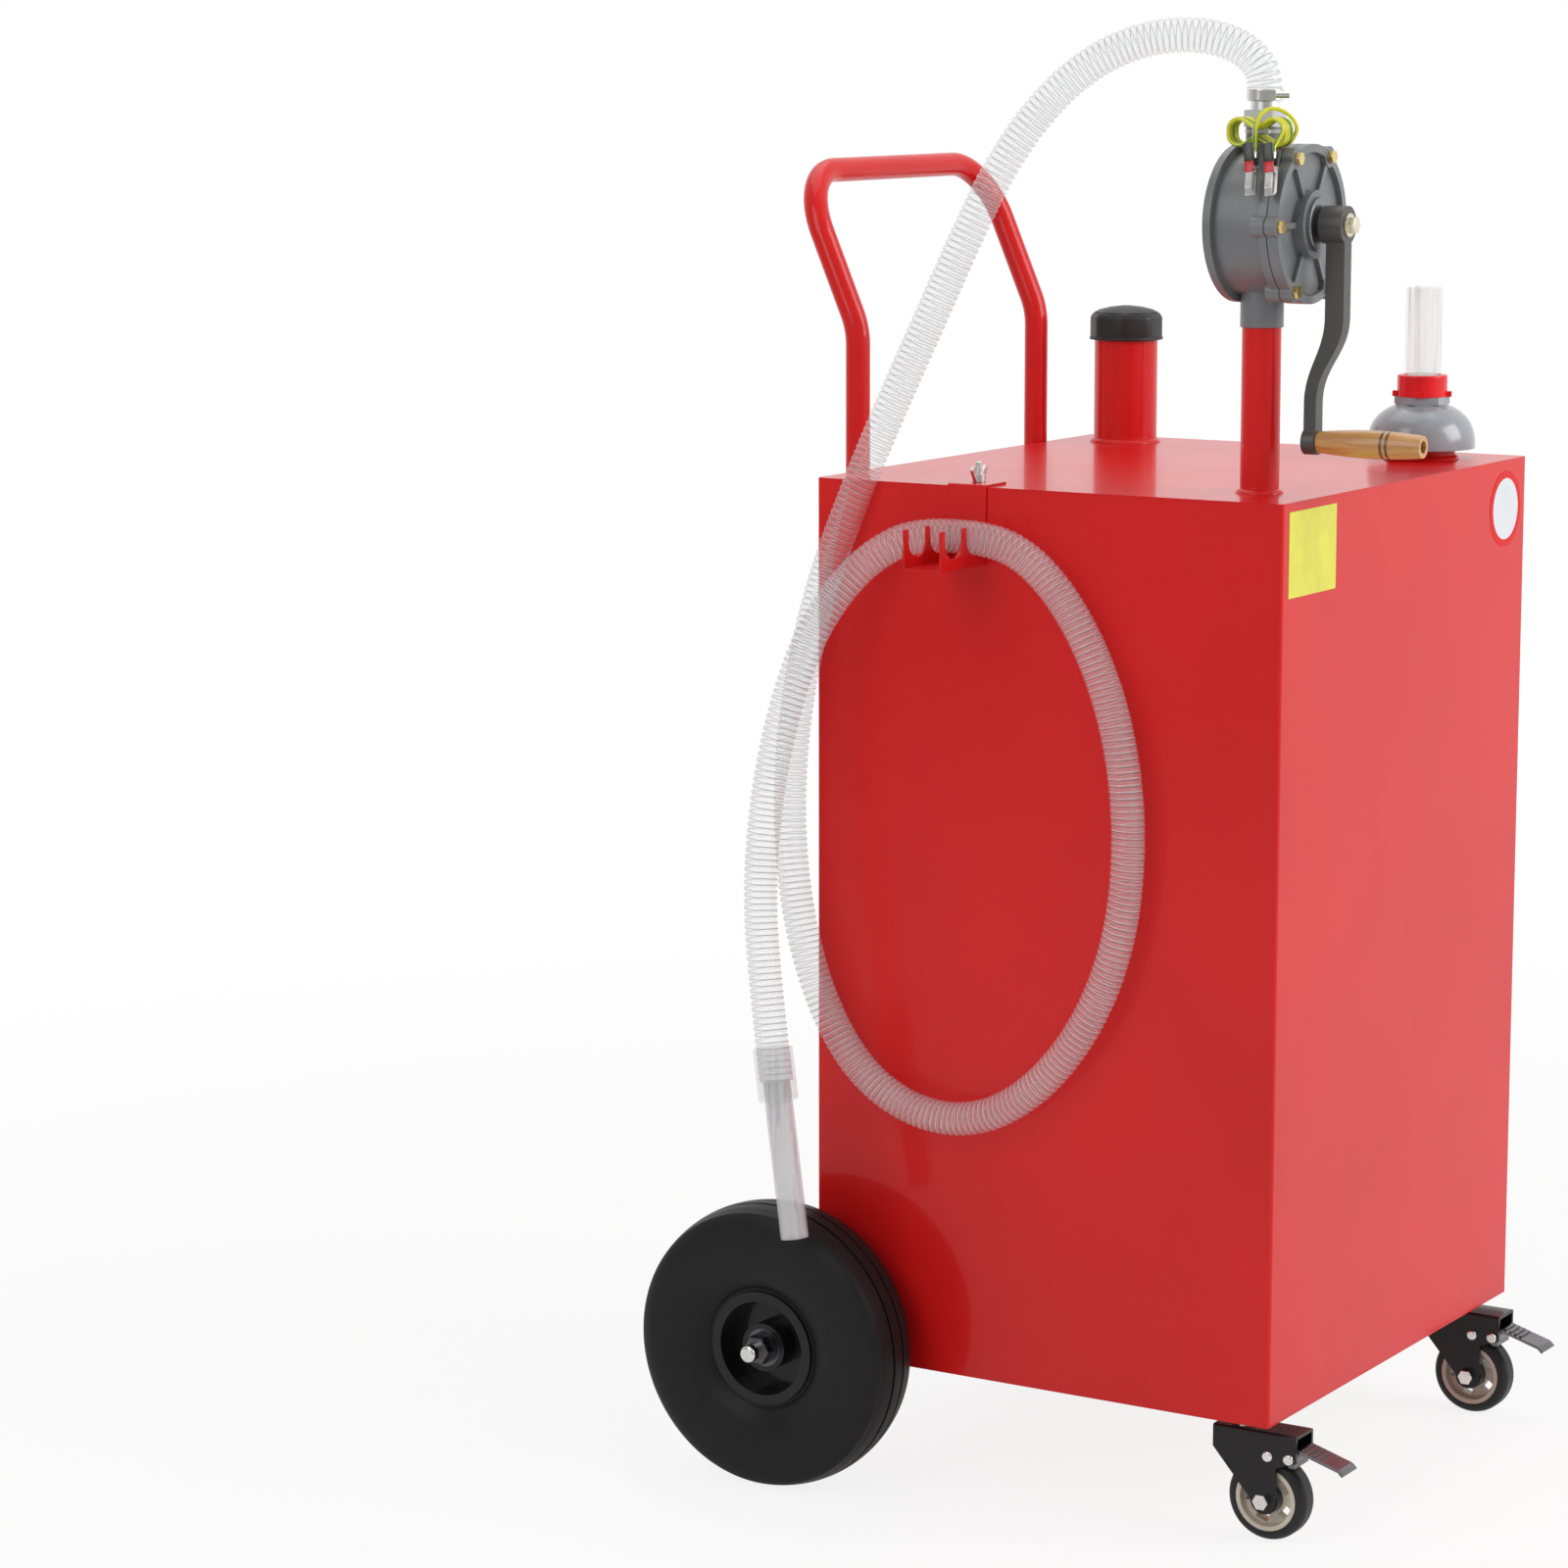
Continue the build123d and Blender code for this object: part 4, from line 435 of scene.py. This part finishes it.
def line_of(points, resolution):
    """The points of a smooth line through a route's curve."""
    curve = bpy.data.curves.new("route", "CURVE")
    curve.dimensions = "3D"
    spline = curve.splines.new("NURBS")
    spline.points.add(len(points) - 1)
    for place, point in zip(spline.points, points):
        place.co = (*point, 1.0)
    spline.use_endpoint_u = True
    spline.order_u = 3
    spline.resolution_u = resolution
    carrier = bpy.data.objects.new("route", curve)
    bpy.context.collection.objects.link(carrier)
    bpy.context.view_layer.update()
    mesh = bpy.data.meshes.new_from_object(carrier)
    line = [vertex.co.copy() for vertex in mesh.vertices]
    bpy.data.objects.remove(carrier)
    bpy.data.curves.remove(curve)
    bpy.data.meshes.remove(mesh)
    return line


def spaced(line, step):
    """The same line with its points an even step apart."""
    points, left = [line[0]], step
    for start, end in zip(line, line[1:]):
        run = (end - start).length
        done = left
        while done <= run:
            points.append(start.lerp(end, done / run))
            done += step
        left = done - run
    points.append(line[-1])
    return points


def tube_along(name, line, radius, sides, turns_per_step):
    """A closed tube along a line. The map named coil has its way round as u and its turns as v."""
    heading = (line[1] - line[0]).normalized()
    side = heading.orthogonal().normalized()
    places, turns = [], []
    for index, point in enumerate(line):
        ahead = (line[min(index + 1, len(line) - 1)] - line[max(index - 1, 0)]).normalized()
        side = (side - ahead * side.dot(ahead)).normalized()
        across = ahead.cross(side)
        turn = index * turns_per_step
        turns.append(turn)
        for corner in range(sides):
            share = corner / sides
            angle = share * math.tau
            reach = radius(turn + share)
            places.append(point + (side * math.cos(angle) + across * math.sin(angle)) * reach)
    faces = []
    for ring in range(len(line) - 1):
        for corner in range(sides):
            following = (corner + 1) % sides
            low, high = ring * sides, (ring + 1) * sides
            faces.append((low + corner, low + following, high + following, high + corner))
    rings = len(faces)
    faces.append(tuple(reversed(range(sides))))
    faces.append(tuple(range((len(line) - 1) * sides, len(line) * sides)))
    mesh = bpy.data.meshes.new(name)
    mesh.from_pydata(places, [], faces)
    coil = mesh.uv_layers.new(name="coil")
    for number, face in enumerate(mesh.polygons):
        if number < rings:
            ring, corner = divmod(number, sides)
            u = (corner / sides, (corner + 1) / sides)
            v = (turns[ring], turns[ring + 1])
            corners = ((u[0], v[0]), (u[1], v[0]), (u[1], v[1]), (u[0], v[1]))
            for loop, place in zip(face.loop_indices, corners):
                coil.data[loop].uv = place
    piece = bpy.data.objects.new(name, mesh)
    bpy.context.collection.objects.link(piece)
    smooth(piece, 60.0)
    return piece


def length_of(line):
    return sum((end - start).length for start, end in zip(line, line[1:]))


def clip_tail(index):
    """The end of a spring clip that its wire comes from."""
    return Vector((CLIP_X, RISER.y - CLIP_SIDE - index * CLIP_STEP, PUMP.z + CLIP_RISE))


def lamp(name, place, target, size, power):
    """A soft lamp that looks at a target."""
    light = bpy.data.lights.new(name, "AREA")
    light.shape = "RECTANGLE"
    light.size, light.size_y = size
    light.energy = power
    holder = bpy.data.objects.new(name, light)
    bpy.context.collection.objects.link(holder)
    aim = (Vector(target) - Vector(place)).to_track_quat("-Z", "Y").to_matrix().to_4x4()
    holder.matrix_world = Matrix.Translation(place) @ aim


class OBJECT_OT_caddy_stage(bpy.types.Operator):
    """Camera at the photograph's view, soft lamps and a pale floor"""

    bl_idname = "object.caddy_stage"
    bl_label = "Stage"

    def execute(self, context):
        stage = context.scene.caddy_stage
        camera = bpy.data.cameras.new("camera")
        camera.sensor_width = CAMERA_SENSOR
        camera.lens = CAMERA_LENS
        holder = bpy.data.objects.new("camera", camera)
        context.collection.objects.link(holder)
        azimuth, elevation, roll = (math.radians(angle) for angle in CAMERA_TURN)
        aim = Matrix.Rotation(azimuth, 4, "Z") @ Matrix.Rotation(math.pi / 2 - elevation, 4, "X")
        holder.matrix_world = Matrix.Translation(CAMERA_EYE) @ aim @ Matrix.Rotation(roll, 4, "Z")
        context.scene.camera = holder
        for setting, (name, place, target, size) in LAMPS.items():
            lamp(name, place, target, size, getattr(stage, setting))

        world = bpy.data.worlds.new("studio")
        context.scene.world = world
        world.use_nodes = True
        tree = world.node_tree
        tree.nodes.clear()
        path = tree.nodes.new("ShaderNodeLightPath")
        seen = tree.nodes.new("ShaderNodeMath")
        seen.operation = "MAXIMUM"
        bare = tree.nodes.new("ShaderNodeMath")
        bare.operation = "MAXIMUM"
        level = tree.nodes.new("ShaderNodeMapRange")
        level.inputs["To Min"].default_value = stage.ambient
        level.inputs["To Max"].default_value = 1.0
        sky = tree.nodes.new("ShaderNodeBackground")
        sky.inputs["Color"].default_value = (1.0, 1.0, 1.0, 1.0)
        where = tree.nodes.new("ShaderNodeTexCoord")
        parts = tree.nodes.new("ShaderNodeSeparateXYZ")
        backdrop = tree.nodes.new("ShaderNodeMapRange")
        limits = {"From Min": SKY_FADE[0], "From Max": SKY_FADE[1], "To Min": stage.mirrored, "To Max": 1.0}
        for name, value in limits.items():
            backdrop.inputs[name].default_value = value
        dimmed = tree.nodes.new("ShaderNodeMath")
        dimmed.operation = "MULTIPLY"
        out = tree.nodes.new("ShaderNodeOutputWorld")
        for source, socket in (
            (path.outputs["Is Camera Ray"], seen.inputs[0]),
            (where.outputs["Generated"], parts.inputs[0]),
            (parts.outputs["X"], backdrop.inputs["Value"]),
            (path.outputs["Is Glossy Ray"], dimmed.inputs[0]),
            (backdrop.outputs[0], dimmed.inputs[1]),
            (dimmed.outputs[0], seen.inputs[1]),
            (seen.outputs[0], bare.inputs[0]),
            (path.outputs["Is Transmission Ray"], bare.inputs[1]),
            (bare.outputs[0], level.inputs["Value"]),
            (level.outputs[0], sky.inputs["Strength"]),
            (sky.outputs[0], out.inputs["Surface"]),
        ):
            tree.links.new(source, socket)

        floor = primitive("plane", size=FLOOR_WIDTH, location=(0.0, 0.0, 0.0))
        floor.name = "floor"
        pale = Finish("pale_floor", (0.9, 0.9, 0.9), 0.7)
        ray = pale.node("ShaderNodeLightPath")
        glossy = pale.node("ShaderNodeLightPath", output="Is Glossy Ray")
        through = pale.node("ShaderNodeLightPath", output="Is Transmission Ray")
        white = pale.step(pale.along("X"), *FLOOR_FADE)
        mirrored = glossy * (stage.mirrored + (1.0 - stage.mirrored) * white)
        shown = ray.math("MAXIMUM", ray, glossy.math("MAXIMUM", mirrored, through))
        far = pale.step(pale.from_axis((0.0, 0.0, 0.0), "Z"), *FLOOR_WHITE_FADE)
        share = FLOOR_WHITE + (1.0 - FLOOR_WHITE) * far
        glow = pale.node("ShaderNodeEmission", values={"Color": (1.0, 1.0, 1.0), "Strength": 1.0})
        shaded = Number(pale, pale.shader.outputs["BSDF"])
        blend = pale.node("ShaderNodeMixShader", values={0: shown * share, 1: shaded, 2: glow})
        pale.tree.links.new(blend.socket, pale.tree.nodes["Material Output"].inputs["Surface"])
        floor.data.materials.append(pale.material)
        context.scene.view_settings.view_transform = "Standard"
        return {"FINISHED"}


class OBJECT_OT_caddy_hose(bpy.types.Operator):
    """Clear hose with its wire coil, from the pump to the cuff"""

    bl_idname = "object.caddy_hose"
    bl_label = "Hose"

    def execute(self, context):
        sizes = context.scene.caddy_hose
        line = spaced(line_of(HOSE_ROUTE, 24), sizes.pitch / COIL_STEPS)

        def reach(turn):
            return sizes.radius - sizes.swell * (0.5 - 0.5 * math.cos((turn - 0.5) * math.tau))

        hose = tube_along("ribbed_hose", line, reach, sizes.sides, 1 / COIL_STEPS)
        finished(hose, "ribbed_hose", ribbed_hose(), "tank", "hose_clear", "hose")
        length_of(line)
        return {"FINISHED"}


class OBJECT_OT_caddy_wire(bpy.types.Operator):
    """Ground wire wound into a hank, between its two clips"""

    bl_idname = "object.caddy_wire"
    bl_label = "Ground wire"

    def execute(self, context):
        sizes = context.scene.caddy_hose
        tail = clip_tail(1) + WIRE_SHIFT
        end = tail + Vector((0.0, CLIP_STEP, 0.0))
        route = [tail] + [tail - CLIP_RUN * lead for lead in WIRE_LEADS]
        points = HANK_HALF + [(-along, -rise) for along, rise in HANK_HALF]
        for turn in range(HANK_TURNS):
            for index, (along, rise) in enumerate(points):
                out = HANK_REACH - (turn + index / len(points)) * HANK_PITCH
                route.append(HANK_CENTRE + Vector((-out, along, rise)))
        route += [HANK_CENTRE + Vector(offset) for offset in HANK_END]
        route += [end - CLIP_RUN * lead for lead in reversed(WIRE_LEADS)] + [end]
        line = spaced(line_of(route, 12), WIRE_STEP)
        wire = tube_along("ground_wire", line, lambda turn: sizes.wire, WIRE_SIDES, 1.0)
        finished(wire, "ground_wire", striped_wire(), "tank", "wire_green", "ground_hank")
        length_of(line)
        return {"FINISHED"}


class OBJECT_OT_caddy_tank(bpy.types.Operator):
    """Paint on the tank, its handle, pipes and hook, and the two blank labels"""

    bl_idname = "object.caddy_tank"
    bl_label = "Tank"

    def execute(self, context):
        colours = context.scene.caddy_colours
        red, yellow = tuple(colours.paint), tuple(colours.sticker)
        paint = gloss_paint("red_paint", red)
        dress(paint, "tank_wrap", "tank_top", "tank_bottom", "handle", "rear_brackets", "hook_bracket")
        welded = gloss_paint("welded_paint", red, weld=TOP + 0.0055)
        dress(welded, "riser_pipe", "fill_neck", "gauge_neck")
        sticker = Finish("sticker", yellow, 0.4)
        sticker.set(
            Base_Color=sticker.speckle(yellow, 0.06, 30.0),
            Roughness=0.34 + 0.12 * sticker.noise(80.0),
        )
        sticker.relief(sticker.noise(25.0), 0.0002)
        dress(sticker.material, "yellow_label")
        low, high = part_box("white_label")
        white, ring_red = (0.74, 0.77, 0.81), (0.72, 0.005, 0.006)
        sign = Finish("sign", white, 0.35, Specular_IOR_Level=0.15)
        away = sign.from_axis((low + high) / 2, "Y")
        inner, outer = 0.0279, 0.0285
        ring = sign.step(away, inner, outer)
        sign.set(Base_Color=sign.mix(ring, sign.speckle(white, 0.03, 40.0), ring_red))
        dress(sign.material, "white_label")
        dress(plated("zinc_plate", (0.72, 0.72, 0.7), 0.28), "hook_stud", "wing_nut", "caster_stems")
        return {"FINISHED"}


class OBJECT_OT_caddy_wheels(bpy.types.Operator):
    """Rubber, gloss black and steel on the two big wheels and their axle"""

    bl_idname = "object.caddy_wheels"
    bl_label = "Wheels"

    def execute(self, context):
        tyre = Finish("tyre_rubber", (0.016, 0.016, 0.017), 0.55, Specular_IOR_Level=0.2)
        dust = tyre.step(tyre.noise(7.0, 5.0), 0.45, 0.8)
        tyre.set(
            Base_Color=tyre.mix(dust * 0.3, (0.011, 0.011, 0.012), (0.022, 0.022, 0.022)),
            Roughness=0.45 + 0.15 * dust,
        )
        tyre.relief(tyre.noise(700.0, 2.0), 0.00008, 0.0008)
        dress(tyre.material, "tyre_left", "tyre_right")
        dress(gloss_paint("black_enamel", (0.009, 0.009, 0.01), 0.00003), "rim_left", "rim_right")
        dress(plated("axle_steel", (0.74, 0.74, 0.73), 0.16), "axle")
        dress(plated("dark_nut", (0.1, 0.1, 0.105), 0.28), "axle_nuts", "bearings_left", "bearings_right")
        return {"FINISHED"}


class OBJECT_OT_caddy_casters(bpy.types.Operator):
    """Finishes of the two braked swivel casters"""

    bl_idname = "object.caddy_casters"
    bl_label = "Casters"

    def execute(self, context):
        colours = context.scene.caddy_colours
        fork = gloss_paint("fork_enamel", (0.012, 0.012, 0.014), 0.00004)
        chrome = plated("pedal_chrome", (0.17, 0.16, 0.17), 0.2)
        nickel = plated("nickel", (0.76, 0.75, 0.73), 0.22)
        rubber = moulded("caster_rubber", (0.014, 0.014, 0.016), 0.45)
        hub_edge = (0.0132, 0.0135)
        for side in ("left", "right"):
            dress(fork, f"fork_{side}")
            dress(chrome, f"pedal_{side}")
            dress(nickel, f"caster_bolts_{side}")
            dress(rubber, f"caster_tyre_{side}")
            low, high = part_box(f"caster_core_{side}")
            core = Finish(f"caster_core_{side}", tuple(colours.core), 0.35, Coat_Weight=0.3)
            hub = 1 - core.step(core.from_axis((low + high) / 2, "X"), *hub_edge)
            shade = core.mix(hub, core.speckle(tuple(colours.core), 0.06, 60.0), (0.02, 0.02, 0.022))
            core.set(Base_Color=shade)
            core.relief(core.noise(700.0, 2.0), 0.00004, 0.0005)
            dress(core.material, f"caster_core_{side}")
        return {"FINISHED"}


class OBJECT_OT_caddy_pump(bpy.types.Operator):
    """Finishes of the pump, its crank and its outlet"""

    bl_idname = "object.caddy_pump"
    bl_label = "Pump"

    def execute(self, context):
        colours = context.scene.caddy_colours
        dress(cast_paint("pump_casting", tuple(colours.casting), pale=PUMP.z + 0.081), "pump_body")
        dress(cast_paint("cover_casting", tuple(colours.casting)), "pump_cover")
        dress(cast_paint("crank_casting", (0.055, 0.053, 0.05), coat=0.2), "crank_arm")
        dress(plated("packing_metal", (0.24, 0.25, 0.26), 0.35), "packing_nut")
        dress(plated("yellow_zinc", (0.72, 0.56, 0.24), 0.26), "cover_bolts")
        dress(plated("crank_bolt", (0.74, 0.68, 0.52), 0.25), "crank_fasteners")
        dress(plated("machined_iron", (0.4, 0.4, 0.4), 0.35), "pump_rotor")
        dress(moulded("vane_plastic", (0.13, 0.1, 0.07), 0.5), "vanes")
        dress(moulded("black_gasket", (0.02, 0.02, 0.02), 0.6), "cover_gasket", "cap_gasket")
        dress(plated("barb_alloy", (0.8, 0.8, 0.8), 0.3), "outlet_barb", "suction_tube", "strainer")
        dress(plated("clamp_steel", (0.78, 0.77, 0.74), 0.2), "hose_clamp")

        wood = Finish("turned_wood", tuple(colours.wood), 0.35, Coat_Weight=0.5, Coat_Roughness=0.12)
        grain = wood.noise(160.0, 5.0, 0.6, (1.0, 0.07, 1.0))
        fine = wood.noise(700.0, 3.0, 0.6, (1.0, 0.05, 1.0))
        shade = wood.mix(wood.step(grain, 0.35, 0.7), (0.5, 0.23, 0.06), tuple(colours.wood))
        shade = wood.mix(wood.step(fine, 0.5, 0.75) * 0.35, shade, (0.36, 0.15, 0.04))
        places = (GRIP.y - 0.0192, GRIP.y - 0.0142)
        rings = sum((wood.band(wood.along("Y"), place, place + 0.0016, 0.0006) for place in places), 0.0)
        wood.set(Base_Color=wood.mix(rings, shade, (0.13, 0.045, 0.012)))
        wood.relief(fine * 0.3 - rings, 0.0006, 0.0008)
        dress(wood.material, "grip")
        return {"FINISHED"}


class OBJECT_OT_caddy_cap(bpy.types.Operator):
    """Fill cap with flat sides, a flared lip and a low dome"""

    bl_idname = "object.caddy_cap"
    bl_label = "Fill cap"

    def execute(self, context):
        low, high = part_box("fill_cap")
        reach, skirt, inside = 0.0331, (high.z - low.z) * 0.65, 0.019
        sides, corner, wall = 8, 0.006, 0.0025
        half_side = math.pi / sides
        dome = ((0.0038, 0.93), (0.0036, 0.8), (0.0024, 0.62), (0.0013, 0.3))
        lip_out, lip_height, lip_rise, lip_width = 0.0021, 0.0024, 0.0013, 0.0048
        cap = primitive(
            "cylinder", vertices=sides, radius=reach / math.cos(half_side), depth=skirt,
            location=(FILL.x, FILL.y, low.z + skirt / 2), rotation=(0.0, 0.0, half_side),
        )
        bpy.ops.object.transform_apply(location=True, rotation=True, scale=True)
        pick(cap, lambda middle, way: abs(way.z) > 0.9, "edges")
        bpy.ops.mesh.bevel(offset=corner, segments=4, affect="EDGES")
        pick(cap, lambda middle, way: way.z > 0.9)
        for rise, share in dome:
            bpy.ops.mesh.extrude_region_move(TRANSFORM_OT_translate={"value": (0.0, 0.0, rise)})
            bpy.ops.transform.resize(value=(share, share, 1.0), center_override=(FILL.x, FILL.y, low.z))
        pick(cap, lambda middle, way: way.z < -0.9)
        bpy.ops.mesh.inset(thickness=wall)
        bpy.ops.mesh.extrude_region_move(TRANSFORM_OT_translate={"value": (0.0, 0.0, inside)})
        rounded(cap, 0.0009, 25.0)
        lip = primitive(
            "cylinder", vertices=64, radius=reach + lip_out, depth=lip_height,
            location=(FILL.x, FILL.y, low.z + lip_rise),
        )
        bpy.ops.object.transform_apply(location=True, rotation=True, scale=True)
        pick(lip, lambda middle, way: abs(way.z) > 0.9)
        bpy.ops.mesh.inset(thickness=lip_width)
        pick(lip, lambda middle, way: abs(way.z) > 0.9 and (middle.xy - FILL.xy).length < 0.005)
        bpy.ops.mesh.bridge_edge_loops()
        rounded(lip, 0.0007)
        alone(cap, lip)
        bpy.ops.object.join()
        plastic = moulded("cap_plastic", (0.022, 0.022, 0.024), 0.42, 0.0008)
        finished(cap, "cap_shell", plastic, "fill_cap", "cap_black", "fill_cap")
        return {"FINISHED"}


class OBJECT_OT_caddy_gauge(bpy.types.Operator):
    """Finishes of the level gauge"""

    bl_idname = "object.caddy_gauge"
    bl_label = "Level gauge"

    def execute(self, context):
        dress(moulded("gauge_grey", (0.3, 0.325, 0.35), 0.25, 0.001, 0.6), "gauge_dome")
        dress(moulded("gauge_red", (0.8, 0.004, 0.012), 0.28, 0.0008, 0.2), "gauge_nut")
        dress(clear("gauge_clear", (0.88, 0.88, 0.87), 0.12, 0.2), "gauge_tube")
        dress(moulded("float_white", (0.7, 0.7, 0.68), 0.45), "gauge_float")
        return {"FINISHED"}


class OBJECT_OT_caddy_clips(bpy.types.Operator):
    """Sleeves and boots of the spring clips, and finishes of clips, tie, cuff and nozzle"""

    bl_idname = "object.caddy_clips"
    bl_label = "Clips and cuff"

    def execute(self, context):
        dress(plated("clip_steel", (0.7, 0.69, 0.67), 0.25), "clip_fixed_jaws", "clip_jaw_a", "clip_jaw_b")
        dress(clear("tie_clear", (0.85, 0.86, 0.87), 0.5), "ground_tie")
        dress(clear("cuff_clear", (0.8, 0.81, 0.82), 0.24, 0.0), "hose_cuff")
        dress(clear("nozzle_clear", (0.84, 0.85, 0.86), 0.42, 0.06), "nozzle_tube")
        black = moulded("sleeve_vinyl", (0.015, 0.015, 0.016), 0.3, 0.0005, 0.3)
        red = moulded("boot_vinyl", (0.55, 0.01, 0.015), 0.3, 0.0005, 0.3)
        taper = (1.0, 0.72, 0.84)
        # Name, whether it moves with the jaw, middle, size, tilt, finish and slot
        trims = (
            ("fixed_sleeve", False, (0.0062, -0.0039, 0), (0.0145, 0.0036, 0.0112), 0.0, black, "cap_black"),
            ("moving_sleeve", True, (0.0062, 0.0081, 0), (0.0165, 0.004, 0.0108), -0.4, black, "cap_black"),
            ("boot", True, (0.0182, 0.0052, 0), (0.0095, 0.0028, 0.0098), -0.2, red, "red_plastic"),
        )
        run = CLIP_RUN.normalized()
        outward = Vector((run.z, 0.0, -run.x)).normalized()
        across = run.cross(outward).normalized()
        turn = Matrix((run, outward, across)).transposed().to_4x4()
        for index, letter in enumerate("ab"):
            place = Matrix.Translation(clip_tail(index)) @ turn
            for kind, moves, middle, size, tilt, finish, slot in trims:
                piece = primitive("cube", size=1.0)
                piece.scale = size
                bpy.ops.object.transform_apply(location=True, rotation=True, scale=True)
                pick(piece, lambda middle, way: abs(way.x) > 0.9)
                bpy.ops.transform.resize(value=taper)
                bpy.ops.object.mode_set(mode="OBJECT")
                rounded(piece, min(size) * 0.3)
                piece.matrix_world = place @ Matrix.Translation(middle) @ Matrix.Rotation(tilt, 4, "Z")
                body = f"clip_jaw_{letter}" if moves else "tank"
                finished(piece, f"{kind}_{letter}", finish, body, slot)
        return {"FINISHED"}


class VIEW3D_PT_caddy(bpy.types.Panel):
    bl_label = "Fuel caddy"
    bl_space_type = "VIEW_3D"
    bl_region_type = "UI"
    bl_category = "Fuel caddy"

    def draw(self, context):
        for operator in OPERATORS:
            self.layout.operator(operator.bl_idname)
        for name, group in GROUPS.items():
            box = self.layout.box()
            for value in group.__annotations__:
                box.prop(getattr(context.scene, name), value)


GROUPS = {"caddy_colours": CaddyColours, "caddy_hose": CaddyHose, "caddy_stage": CaddyStage}
OPERATORS = (
    OBJECT_OT_caddy_stage,
    OBJECT_OT_caddy_hose,
    OBJECT_OT_caddy_wire,
    OBJECT_OT_caddy_tank,
    OBJECT_OT_caddy_wheels,
    OBJECT_OT_caddy_casters,
    OBJECT_OT_caddy_pump,
    OBJECT_OT_caddy_cap,
    OBJECT_OT_caddy_gauge,
    OBJECT_OT_caddy_clips,
)


def register():
    for made in (*GROUPS.values(), *OPERATORS, VIEW3D_PT_caddy):
        bpy.utils.register_class(made)
    for name, group in GROUPS.items():
        setattr(bpy.types.Scene, name, PointerProperty(type=group))


def unregister():
    for name in GROUPS:
        delattr(bpy.types.Scene, name)
    for made in (VIEW3D_PT_caddy, *reversed(OPERATORS), *GROUPS.values()):
        bpy.utils.unregister_class(made)


def main():
    register()
    for operator in OPERATORS:
        group, name = operator.bl_idname.split(".")
        getattr(getattr(bpy.ops, group), name)()


if __name__ == "__main__":
    main()
